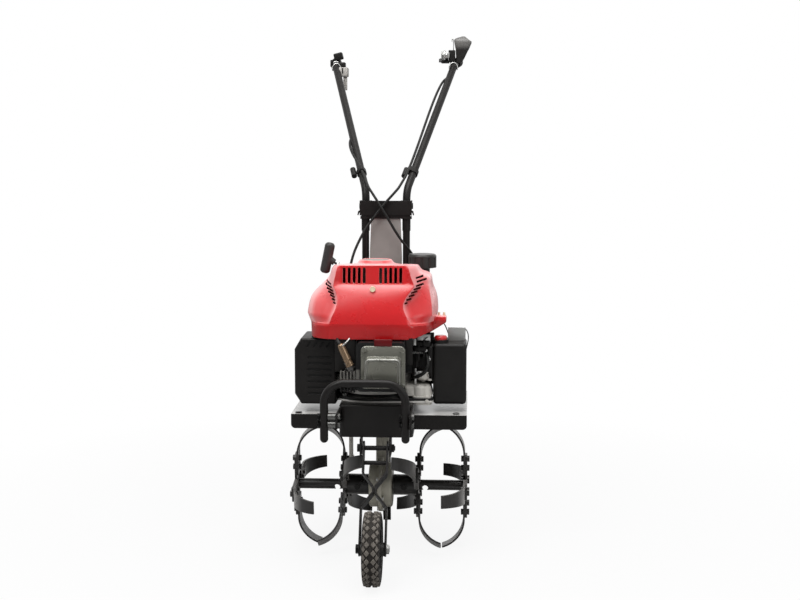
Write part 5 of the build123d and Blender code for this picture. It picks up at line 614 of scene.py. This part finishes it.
# %% Round it, give it a wall and keep its edges crisp
def apply(piece, kind, **settings):
    only(piece)
    tool = piece.modifiers.new(kind.lower(), kind)
    for label, value in settings.items():
        setattr(tool, label, value)
    bpy.ops.object.modifier_apply(modifier=tool.name)


apply(cowl, "SUBSURF", levels=2, render_levels=2)
apply(cowl, "SOLIDIFY", thickness=0.0025, offset=-1, use_even_offset=True)
print("cowl faces", len(cowl.data.polygons))

# %% [markdown]
# The grille has ten tall slots in two groups, and the louvres in the valleys are short
# slanted slots that get narrower towards the front. They could be holes in the grid, but then
# each outline would need many more points. So one rounded bar is copied to the slots, a bar is
# made for each louvre, and all are cut out of the shell at once. A small lug stands on the right.

# %% Cut the grille and the louvres
def shift(move):
    return Matrix.Translation(Vector(move) / 1000)


def turned_about(place, angle, axis):
    return shift(place) @ Matrix.Rotation(angle, 4, axis) @ shift(place).inverted()


def bevelled(piece, width, segments=3):
    apply(piece, "BEVEL", width=width, segments=segments, limit_method="ANGLE")
    return piece


def block(name, low, high, bevel=0.0, segments=3):
    only()
    middle = [(a + b) / 2000 for a, b in zip(low, high)]
    bpy.ops.mesh.primitive_cube_add(size=1, location=middle)
    piece = active()
    piece.name = name
    piece.scale = [(b - a) / 1000 for a, b in zip(low, high)]
    bpy.ops.object.transform_apply()
    return bevelled(piece, bevel, segments) if bevel else piece


def copied(piece, name, change):
    twin = linked(name, piece.data.copy())
    twin.data.transform(change)
    return twin


def joined(pieces, name):
    only(*pieces)
    bpy.ops.object.join()
    pieces[0].name = name
    return pieces[0]


SLOT_HALF, SLOT_LOW, SLOT_HIGH, SLOT_PITCH, SLOT_GROUPS = 3.1, 607.5, 640.5, 10.6, (-48.1, 29.0)
CUT_FRONT, SLOT_BACK, LOUVRE_BACK = COWL_Y - 150, COWL_Y - 112, COWL_Y - 68
LOUVRE_HALF, LOUVRE_END = 2.1, 1
LEFT_LEAN, RIGHT_LEAN = radians(20), radians(-12)
LOUVRES = (  # left X, right X, height
    (-91, -87, 567), (-95, -88, 573.5), (-99, -89, 580), (-104, -91, 586.5), (-108, -93.5, 593),
    (-113, -97, 600), (-116, -99, 607), (58.5, 64, 567), (63, 72, 574.5), (68, 78, 582),
    (72.5, 84, 589), (78, 91, 596), (83, 97, 603), (84, 103, 612), (82, 96, 619))
bar = block("grille_bar", (-SLOT_HALF, CUT_FRONT, SLOT_LOW), (SLOT_HALF, SLOT_BACK, SLOT_HIGH),
            0.0028, 4)
cutters = [copied(bar, "grille_bar_cut", shift((group + k * SLOT_PITCH, 0, 0)))
           for group in SLOT_GROUPS for k in range(-2, 3)]
bpy.data.objects.remove(bar)
for left, right, height in LOUVRES:
    louvre = block("louvre_cut", (left - LOUVRE_END, CUT_FRONT, height - LOUVRE_HALF),
                   (right + LOUVRE_END, LOUVRE_BACK, height + LOUVRE_HALF), 0.0009, 2)
    lean = LEFT_LEAN if left < 0 else RIGHT_LEAN
    louvre.data.transform(turned_about(((left + right) / 2, 0, height), lean, "Y"))
    cutters.append(louvre)
knife = joined(cutters, "cowl_cutters")
apply(cowl, "BOOLEAN", operation="DIFFERENCE", object=knife, solver="EXACT")
bpy.data.objects.remove(knife)
dress(cowl, "frame", "red_cover", "engine_cowl", angle=32)

LUG_MIDDLE_X, LUG_MIDDLE_Z = 0.13, 0.52
OUTER_FOOT, INNER_FOOT = 0.521, 0.497  # the lug's underside climbs outwards
lug = block("cowl_lug", (108, -250, 509), (146, -216, 534))
for vertex in lug.data.vertices:
    if vertex.co.z < LUG_MIDDLE_Z:
        vertex.co.z = OUTER_FOOT if vertex.co.x > LUG_MIDDLE_X else INNER_FOOT
dress(bevelled(lug, 0.003), "frame", "red_cover", angle=40)
print("cowl with slots", len(cowl.data.polygons))

# %% [markdown]
# ## Hand tools for the small pieces
# The pieces that follow are turned, rounded or stacked, so two short tools come first. One
# spins an outline about a way, as a lathe does. The other bridges rings of a rounded
# rectangle, as a pressed cover or a moulded housing is drawn out.

# %% A lathe and a stack of rings
def from_lines(name, points, lines):
    mesh = bpy.data.meshes.new(name)
    mesh.from_pydata([Vector(point) / 1000 for point in points], lines, [])
    piece = linked(name, mesh)
    only(piece)
    bpy.ops.object.mode_set(mode="EDIT")
    bpy.ops.mesh.select_all(action="SELECT")
    return piece


def loops(around, count):
    """The lines of closed rings that follow one another, each with as many points."""
    return [(ring * around + k, ring * around + (k + 1) % around)
            for ring in range(count) for k in range(around)]


def lathe(name, outline, foot, way, steps=32):
    points = [(radius, 0, height) for radius, height in outline]
    piece = from_lines(name, points, [(k, k + 1) for k in range(len(points) - 1)])
    bpy.ops.mesh.spin(steps=steps, angle=2 * pi, center=(0, 0, 0), axis=UP)
    close_up()
    turn = Vector(UP).rotation_difference(Vector(way)).to_matrix().to_4x4()
    piece.data.transform(shift(foot) @ turn)
    return piece


def stack(name, rings, corner_steps=5):
    """Rings of (height, half width, half depth, corner, middle X, middle Y), drawn along Z."""
    points = []
    for height, half_w, half_d, corner, mid_x, mid_y in rings:
        for quarter, (sign_x, sign_y) in enumerate(((1, 1), (-1, 1), (-1, -1), (1, -1))):
            for k in range(corner_steps + 1):
                turn = pi / 2 * (quarter + k / corner_steps)
                points.append((mid_x + sign_x * (half_w - corner) + corner * cos(turn),
                               mid_y + sign_y * (half_d - corner) + corner * sin(turn), height))
    around = 4 * (corner_steps + 1)
    piece = from_lines(name, points, loops(around, len(rings)))
    bpy.ops.mesh.bridge_edge_loops()
    bpy.ops.mesh.select_all(action="DESELECT")
    for end in (0, len(points) - around):
        bpy.ops.object.mode_set(mode="OBJECT")
        for vertex in piece.data.vertices:
            vertex.select = end <= vertex.index < end + around
        bpy.ops.object.mode_set(mode="EDIT")
        bpy.ops.mesh.select_mode(type="VERT")
        bpy.ops.mesh.edge_face_add()
    close_up()
    return piece


print("tools ready")

# %% [markdown]
# ## The base plate under the cowl
# A black sheet closes the cowl from below and keeps the flywheel's air inside. It could be
# cut out as one flat face, but its rim has to follow the cowl's lower edge, which climbs on
# the right. So three rings are bridged, two at a time: the hole for the crankshaft, a flat ring
# just wider than the flywheel, and the cowl's lowest outline drawn a little inwards.

# %% Bridge the base plate
PLATE_Z, SHAFT_HOLE, FLAT_REACH, RIM_SHARE = 494.6, 32.0, 87.0, 0.985
hole, flat, rim = [], [], []
for k, (x, y) in enumerate(LOWEST):
    before, after = LOWEST[k - 1], LOWEST[(k + 1) % AROUND]
    out_x = (before[0] + 4 * x + after[0]) / 6 - STARTER_X
    out_y = (before[1] + 4 * y + after[1]) / 6 - STARTER_Y
    far = hypot(out_x, out_y)
    for ring, share, rise in ((hole, SHAFT_HOLE / far, 0), (flat, FLAT_REACH / far, 0),
                              (rim, RIM_SHARE, lift_at(x))):
        ring.append((STARTER_X + out_x * share, STARTER_Y + COWL_Y + out_y * share, PLATE_Z + rise))
collars = []
for inner, outer in ((hole, flat), (flat, rim)):
    collars.append(from_lines("plate_collar", inner + outer, loops(AROUND, 2)))
    bpy.ops.mesh.bridge_edge_loops()
    close_up()
base_plate = joined(collars, "cowl_base_plate")
bpy.ops.object.mode_set(mode="EDIT")
close_up()
apply(base_plate, "SOLIDIFY", thickness=0.002, offset=0)
dress(base_plate, "frame", "black_plastic")
print("base plate", len(base_plate.data.polygons))

# %% [markdown]
# ## The tyre
# The front wheel has a solid tyre with rows of diamond-shaped lugs. A displaced texture
# would give no outline, so the lugs are real. One carcass is turned on the lathe, one
# diamond for each column is made from a four-sided cone, and copies of it are set round the
# tyre, with the outer columns half a step further on.

# %% Turn the carcass and set the lugs
WHEEL_AT = (0.0, -433.0, 77.0)
CARCASS = ((46.5, -15), (50, -17.5), (60, -18.4), (68, -18), (71.6, -16.4), (73.0, -12.5),
           (73.4, 0), (73.0, 12.5), (71.6, 16.4), (68, 18), (60, 18.4), (50, 17.5), (46.5, 15),
           (46.2, 0), (46.5, -15))
LUGS_AROUND, LUG_DEPTH = 27, 6
LUG_COLUMNS = (  # offset along the axle, reach, share of a step, narrowing
    (-6.9, 76.6, 0.0, 0.86), (6.9, 76.6, 0.0, 0.86), (-13.3, 75.0, 0.5, 0.6),
    (13.3, 75.0, 0.5, 0.6))
tyre = lathe("tyre_carcass", CARCASS, WHEEL_AT, RIGHT, 72)
lugs = []
for offset, reach, step, narrow in LUG_COLUMNS:
    only()
    place = (offset, 0, reach - LUG_DEPTH / 2)
    bpy.ops.mesh.primitive_cone_add(
        vertices=4, radius1=0.0078, radius2=0.0060, depth=LUG_DEPTH / 1000,
        location=[(a + b) / 1000 for a, b in zip(WHEEL_AT, place)])
    lug = active()
    lug.scale = (narrow, 1.06, 1)
    bpy.ops.object.transform_apply()
    bevelled(lug, 0.0007, 1)
    for k in range(LUGS_AROUND):
        turn = turned_about(WHEEL_AT, 2 * pi * (k + step) / LUGS_AROUND, "X")
        lugs.append(copied(lug, "lug", turn))
    bpy.data.objects.remove(lug)
# painted shade: the carcass between the lugs takes the darker groove rubber
dress(tyre, "wheel", "tyre", "wheel_tyre", look="tyre_groove_painted_shade")
dress(joined(lugs, "wheel_tread"), "wheel", "tyre")
print("tyre faces", len(tyre.data.polygons))

# %% [markdown]
# ## The valve cover
# A pressed cover with a flange, a stepped bowl and a bright bead round its flat face. It could
# be pulled out of one sheet, but rounded rectangles stacked from the flange outwards set each
# depth at once. The stack is turned to the front. Its upper flange dips between two ears.

# %% Stack the pressed cover
COVER_AT = (16.5, -341.0, 438.0)
BOWL_DOWN = -9.0
COVER_RINGS = (  # depth to the front, half width, half height, corner, shift down
    (0.0, 46.5, 45.0, 11, 0), (3.0, 46.5, 45.0, 11, 0), (4.0, 45.6, 44.1, 10.2, 0),
    (4.2, 39.2, 33.0, 10, -8.0), (5.2, 38.0, 31.4, 10, -8.6), (20.5, 37.0, 30.2, 9.5, BOWL_DOWN),
    (22.4, 36.4, 29.4, 9, BOWL_DOWN), (23.4, 35.2, 28.2, 8.5, BOWL_DOWN),
    (23.2, 34.2, 27.2, 8, BOWL_DOWN), (22.2, 33.4, 26.4, 7.5, BOWL_DOWN),
    (22.0, 31.0, 24.0, 7, BOWL_DOWN))
FLANGE_TOP, FLANGE_DEPTH = 0.043, 0.0042
DIP_HALF, DIP_DEPTH = 0.027, 0.006
rings = [(depth, w, h, corner, 0, down) for depth, w, h, corner, down in COVER_RINGS]
cover = stack("pressed_cover", rings, 6)
for vertex in cover.data.vertices:
    if vertex.co.y > FLANGE_TOP and vertex.co.z < FLANGE_DEPTH:
        vertex.co.y -= DIP_DEPTH * max(0.0, 1 - (vertex.co.x / DIP_HALF) ** 2)
cover.data.transform(shift(COVER_AT) @ Matrix.Rotation(pi / 2, 4, "X"))
dress(cover, "frame", "silver_cover", "valve_cover", angle=50)
print("valve cover box", [round(v, 4) for v in cover.dimensions])

# %% [markdown]
# ## Round the cylinder
# A black sheet behind the spark plug leads the fan's air down over the fins, and it also
# stands for the shade round the head. The red shroud shows as a tab above the valve cover,
# painted dark red as painted shade under the cowl. The plug wears a bronze heat shield with
# a rolled rim and a wire clip. The sheets could be planes given a wall, but thin blocks with
# a small bevel show their edges. The shield is turned on the lathe.

# %% Air sheets, shroud tab and plug shield
# black sheets: air guides, and a dark sheet for the shade round the head
dress(joined([
    block("sheet_left", (-87, -318, 424), (-44.5, -316.5, 496), 0.0006),
    block("sheet_top", (-87, -318, 491.5), (76, -300, 496), 0.0006),
    block("sheet_right", (62.5, -318, 440), (77, -316.5, 496), 0.0006),
], "air_and_shade_sheets"), "frame", "black_paint")
# painted shade: the shroud tab is painted dark red for the shade under the cowl
dress(block("shroud_tab", (-2, -346, 482.5), (35.5, -341.3, 497), 0.0015),
      "frame", "red_cover", look="shroud_painted_shade")
PLUG_FOOT, PLUG_END = Vector((-53.6, -331.0, 440.0)), Vector((-76.0, -331.0, 489.0))
SHIELD = (
    (6.2, -2), (8.2, -2), (8.8, -1.2), (8.8, 1.5), (8.2, 2.4), (8.0, 12), (8.4, 13), (8.4, 15),
    (8.0, 16), (7.8, 42), (7.2, 46), (5.6, 48.6), (3.0, 50), (0, 50.4))
CLIP = ((-68, -337, 482), (-63, -337, 487), (-58, -335, 492), (-54, -331, 497))
LEAD = ((-74, -331, 484), (-79, -329, 490), (-82, -316, 494), (-80, -300, 496))
shield = lathe("plug_shield", SHIELD, PLUG_FOOT, (PLUG_END - PLUG_FOOT).normalized())
dress(shield, "frame", "boot", "plug_boot")
dress(tube("plug_clip", CLIP, 0.0017), "frame", "zinc")
dress(tube("plug_lead", LEAD, 0.0034), "frame", "rubber")
print("plug shield", len(shield.data.polygons))

# %% [markdown]
# ## The carburettor
# Between the crankcase and the air filter sits a crowd of small dark parts: a black
# heat block, the carburettor's body with its round float bowl, two levers, a spring, a hose and
# bright screws. One casting could stand for them all, but the gap would look filled in. So
# each is a simple turned or rounded form, and those of one finish are joined.

# %% Body, bowl, levers, hose and screws
WASHER_SHARE, CROWN_SHARE, CROWN_RISE = 1.35, 0.86, 0.7


def bolt_head(place, radius, height):
    washer, crown = radius * WASHER_SHARE, height + CROWN_RISE
    outline = ((0, 0), (washer, 0), (washer, 1.0), (radius, 1.2), (radius, height),
               (radius * CROWN_SHARE, crown), (0, crown))
    return lathe("bolt_head", outline, place, (0, -1, 0), 18)


dress(joined([
    block("heat_block", (74, -256, 404), (84, -214, 462), 0.002),
    block("choke_plate", (106, -262, 398), (117.5, -206, 470), 0.003),
    block("back_plate", (66, -206, 380), (119, -203.5, 493), 0.0008),
    block("stop_plate", (70, -264, 470), (112, -210, 480), 0.002),
], "heat_block"), "frame", "black_plastic")
THROAT = ((15, 0), (17, 1), (17, 6), (13.5, 8), (13.5, 20), (17, 22), (17, 28), (15, 29), (9, 29),
          (9, 0), (15, 0))
BOWL = ((0, 0), (4, 0), (5, 1), (5, 3), (12, 4), (15.5, 6), (17, 9), (17, 19), (19.5, 20),
        (19.5, 23), (0, 23))
dress(joined([
    lathe("carburettor_throat", THROAT, (82, -235, 430), RIGHT),
    block("carburettor_body", (84, -254, 418), (108, -214, 448), 0.004),
], "carburettor_body"), "frame", "black_plastic", "carburettor")
bowl = joined([
    lathe("float_bowl", BOWL, (97, -246, 392.5), UP),
    block("bowl_clip", (106, -262, 396), (116, -232, 412), 0.002)], "float_bowl")
# painted light: the bowl takes the lighter casting finish
dress(bowl, "frame", "cast_alloy", look="painted_light_casting")
levers = joined([
    block("throttle_arm", (85, -268, 440), (90, -264.5, 474), 0.001),
    block("choke_arm", (97, -267, 446), (101, -263.5, 486), 0.001),
    block("link_plate", (78, -270, 462), (104, -268, 470), 0.0008),
    block("stop_arm", (80, -262, 426), (87, -258, 462), 0.001),
    tube("governor_rod", ((87, -266, 470), (84, -262, 486), (80, -250, 498)), 0.0011),
    tube("choke_rod", ((99, -265, 484), (106, -258, 492), (118, -246, 497)), 0.0011),
], "carburettor_levers")
dress(levers, "frame", "black_paint")
HOSE = ((104, -262, 452), (110, -276, 440), (104, -280, 420), (92, -276, 410), (80, -266, 404),
        (74, -240, 400))
dress(tube("fuel_hose", HOSE, 0.0036, 5), "frame", "rubber")
SPRING_AT, SPRING_RADIUS, SPRING_STEP = (70, -266, 458), 2.6, 0.42
SPRING_POINTS, POINTS_IN_COIL = 64, 8
coils = []
for k in range(SPRING_POINTS):
    turn = k * 2 * pi / POINTS_IN_COIL
    offset = (SPRING_STEP * k, SPRING_RADIUS * cos(turn), SPRING_RADIUS * sin(turn))
    coils.append([a + b for a, b in zip(SPRING_AT, offset)])
dress(tube("governor_spring", coils, 0.0005, 2), "frame", "zinc")
dress(joined([
    bolt_head((109, -262.2, 443.5), 3.2, 3.0),
    bolt_head((90.5, -264.4, 413.5), 2.9, 3.0),
    bolt_head((103, -262.2, 462), 2.2, 2.0),
    block("governor_lever", (79, -266, 386), (83, -263.5, 424), 0.0008),
    block("governor_foot", (79, -266, 410), (92, -263.5, 417), 0.0008),
    block("control_plate", (84, -258, 484), (112, -256.5, 496), 0.0005),
    block("control_shelf", (84, -258, 482.5), (112, -226, 484), 0.0005),
    block("spring_hook", (75, -268, 474), (82, -266.5, 488), 0.0005),
], "carburettor_screws"), "frame", "zinc")
print("carburettor pieces", len(bowl.data.polygons), len(levers.data.polygons))

# %% [markdown]
# ## The crankcase's cast lobe and the guard's shade sheet
# On the right of the cylinder the casting swells into a lobe that holds the governor, with a
# bolt at its foot. It could be carved out of the crankcase, but a stack of rounded rings
# gives it its soft draft. A dark sheet behind the muffler guard's slots is painted shade: it
# stands for the shade inside the guard, so that no light comes through them.

# %% Lobe, its cap and the shade sheet
LOBE_CAP = ((0, 0), (16, 0), (16, 20), (14.5, 22), (6, 22.5), (5, 24), (0, 24))
lobe = joined([
    stack("lobe_foot", ((348, 17, 22, 6, 98, -263), (350, 19, 24, 7, 97, -262),
                        (366, 20, 25, 8, 95, -261), (367, 20, 25, 8, 95, -261))),
    stack("lobe_body", ((366.5, 31, 42, 14, 86, -238), (384, 29, 40, 14, 85, -238),
                        (388, 25, 36, 12, 84, -238), (389, 18, 29, 8, 84, -238))),
    bolt_head((106, -285.5, 357), 4.2, 4.5),
    lathe("lobe_cap", LOBE_CAP, (90, -268, 366), UP)], "case_lobe")
# painted light: the lobe takes the lighter casting finish
dress(lobe, "frame", "cast_alloy", look="painted_light_casting")
# painted shade: a dark sheet for the shade inside the muffler guard
dress(joined([
    block("guard_shade_sheet", (left, -276.4, low), (-94, -275.2, high), 0.0004)
    for left, low, high in ((-170, 374, 462), (-157, 461, 485), (-157, 352, 375))
], "guard_shade_sheet"), "frame", "black_paint", look="rubber")
print("lobe", len(lobe.data.polygons))

# %% [markdown]
# ## Small control parts
# A thin rod comes down from the cowl to the throttle bracket and a wire loops beside the air
# filter. A flat stay bar hangs from the bed behind the tines. The starter rope, which the grip
# pulls out, leaves the cowl through a bright eyelet. It could be twisted from strands, but only
# its line shows, so it is one tube.

# %% Rod, wire, stay bar, starter rope and eyelet
STOP_WIRE = ((183, -206, 504), (190, -210, 500), (194, -214, 486), (191.5, -214, 470),
             (189, -214, 460))
dress(joined([
    tube("throttle_rod", ((140, -206, 512), (143, -206, 511), (150.5, -206, 489)), 0.0012),
    tube("stop_wire", STOP_WIRE, 0.0011),
], "control_wires"), "frame", "black_paint")
dress(block("bracket_skirt", (-57, 14.6, 727.5), (57, 16.2, 738), 0.0005), "frame", "black_paint")
# painted light: the stay bar takes the lighter casting finish
dress(joined([
    block("stay_bar", (-88, 17, 158), (-78.2, 25, 330), 0.0012),
    block("stay_foot", (-90, 15.5, 150), (-76, 26.5, 166), 0.002),
], "stay_bar"), "frame", "zinc", look="painted_light_casting")
MOUTH, PULL = Vector((-93.0, -183.0, 638.0)), Vector((-0.83, 0.0, 0.558)).normalized()
ROPE_LENGTH, ROPE_STEPS, ROPE_INSIDE = 19.0, 24, 4
EYELET = ((2.9, -2), (6.0, -2), (6.8, 0), (6.2, 1.6), (4.6, 2.2), (3.2, 1.6), (2.9, -2))
rope = tube("starter_rope", [MOUTH + PULL * (ROPE_LENGTH * k / ROPE_STEPS - ROPE_INSIDE)
                             for k in range(ROPE_STEPS + 1)], 0.0024, 4)
coated(rope, "grey_plastic")
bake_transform(rope)
dress(lathe("rope_eyelet", EYELET, MOUTH, PULL), "frame", "zinc")
print("rope faces", len(rope.data.polygons))

# %% [markdown]
# ## The controls on the handles
# The right arm carries a dark control housing with a pale flared dome, a clutch lever
# block with a bright knurled nut, and a wire hook. The left arm carries a strapped saddle, a
# dark block and the grey throttle body with its pale thumb leaf. They could be sculpted, but
# plain mouldings need only stacked rings, turned pieces and bevelled blocks.

# %% Control housing, lever block, saddle and throttle body
HOUSING_Y = 402
HOUSING_RINGS = (  # height, half width, half depth, corner, middle X
    (1106, 8.5, 10, 5, 163), (1117, 10.5, 12, 5, 167.5), (1136, 15.5, 15.5, 6, 171.5),
    (1139, 16.5, 17, 7, 172.5), (1148, 19.5, 19, 8, 173.5), (1156, 22, 20, 8, 174.5),
    (1159, 22.2, 20, 8, 174.2), (1164, 18.5, 18, 7, 170.5), (1168, 13.5, 14, 6, 171),
    (1171, 7, 8, 4, 174.5), (1172.6, 4, 5, 3, 175))
housing = stack("control_housing", [(*ring, HOUSING_Y) for ring in HOUSING_RINGS], 6)
dress(housing, "handlebar", "grey_plastic", "lever_mounts", look="dome_plastic", angle=50)
STRAP_HALF_W, STRAP_HALF_H, STRAP_STEPS = 10.6, 13.4, 10
STRAP_FROM, STRAP_SWEEP = -25, 230  # degrees round the arm, open below


def strap(x, y, z):
    turns = [radians(STRAP_FROM + STRAP_SWEEP * k / STRAP_STEPS) for k in range(STRAP_STEPS + 1)]
    route = [(x + STRAP_HALF_W * cos(turn), y, z + STRAP_HALF_H * sin(turn)) for turn in turns]
    return tube("arm_strap", route, 0.0016)


switch = block("switch_block", (-157, 391, 1114), (-134, 414, 1132), 0.003)
switch.data.transform(turned_about((-145, 402, 1123), radians(-14), "Y"))
dress(joined([
    block("lever_block", (137.6, 388, 1108), (155, 414, 1137.5), 0.002),
    block("lever_fork", (119, 390, 1122.2), (140, 413, 1129), 0.0015),
    block("lever_fork", (119, 390, 1105), (140, 413, 1111.8), 0.0015), switch,
    block("saddle_body", (-152, 388, 1092), (-127, 412, 1108), 0.003),
    block("saddle_flap", (-166, 391, 1096), (-158, 411, 1114), 0.002),
], "control_blocks"), "handlebar", "black_plastic")
LEVER_NUT = ((0, 0), (5, 0), (5, 2.5), (10.5, 3), (12, 4.5), (12, 7.5), (10.5, 9), (6, 9.4),
             (6, 11), (9.5, 11.4), (10.8, 12.8), (9.5, 14.4), (4, 15), (0, 15))
WIRE_HOOK = ((150, 400, 1137), (150.5, 396, 1146), (150.3, 394, 1158), (149, 394, 1167),
             (146, 394, 1165), (146.5, 394, 1159))
bright = joined([
    lathe("lever_nut", LEVER_NUT, (134, 382, 1124), (-1, 0, 0)),
    block("nut_plate", (131, 381, 1117), (140, 390, 1131), 0.001),
    tube("wire_hook", WIRE_HOOK, 0.0010),
    strap(150.3, 390, 1093.0), strap(-149.7, 388, 1091.3), strap(-151.5, 394.5, 1096.8),
], "bright_fittings")
dress(bright, "handlebar", "zinc")
throttle_body = stack("throttle_body", (
    (1071, 11, 16, 3, -131.5, 391), (1073, 12.2, 17.5, 4, -131.5, 391),
    (1090, 12.2, 17.5, 4, -131.5, 391), (1094, 11, 16, 4, -131.5, 391)))
dress(throttle_body, "handlebar", "grey_plastic")
dress(block("throttle_slot", (-134.5, 372.9, 1078), (-131, 375, 1092), 0.0006),
      "handlebar", "black_plastic")
LEAF_BOSS = ((0, 0), (5.6, 0), (6, 0.5), (6, 7), (5.6, 7.5), (0, 7.5))
dress(joined([
    block("leaf_blade", (-131.5, 379.2, 1036), (-121.2, 381.8, 1070), 0.0012),
    block("leaf_neck", (-129.2, 379.2, 1066), (-122, 383, 1080), 0.001),
    lathe("leaf_boss", LEAF_BOSS, (-129.3, 383, 1079), RIGHT),
], "thumb_leaf"), "throttle_lever", "grey_plastic", "throttle_lever")
print("control pieces", len(housing.data.polygons), len(bright.data.polygons))

# %% [markdown]
# ## Ribbed grips
# Each handle ends in a soft grip with rings that keep the hand from slipping, a flange at
# the front and a rounded end. Rings could be set on a tube, but one outline turned about the
# line of the handle gives both in one piece.

# %% Turn both grips
GRIP_LENGTH, GRIP_RIBS, FIRST_RIB, RIB_STEP = 92.0, 13, 8, 5.8
GRIP_TIP, ARM_END = (161.0, 510.0, 1114.0), (154.0, 403.0, 1104.0)  # of the right arm
ribs = [(9.0, 0), (13.2, 0), (13.5, 0.6), (13.5, 3.4), (12.6, 4.2)]
for k in range(GRIP_RIBS):
    at = FIRST_RIB + k * RIB_STEP
    ribs += [(12.2, at), (13.3, at + 1.2), (13.3, at + 3.2), (12.2, at + 4.4)]
ribs += [(12.6, 86), (13.3, 87.5), (13.3, 89), (12.0, 91), (9, 91.8), (0, GRIP_LENGTH)]
for side, name, covers in ((-1, "left_hand_grip", ["handle_grips"]), (1, "right_hand_grip", [])):
    tip, root = (Vector((side * x, y, z)) for x, y, z in (GRIP_TIP, ARM_END))
    way = (tip - root).normalized()
    hand_grip = lathe(name, ribs, tip - way * GRIP_LENGTH, way, 36)
    dress(hand_grip, "handlebar", "rubber", *covers)
print("grips turned")
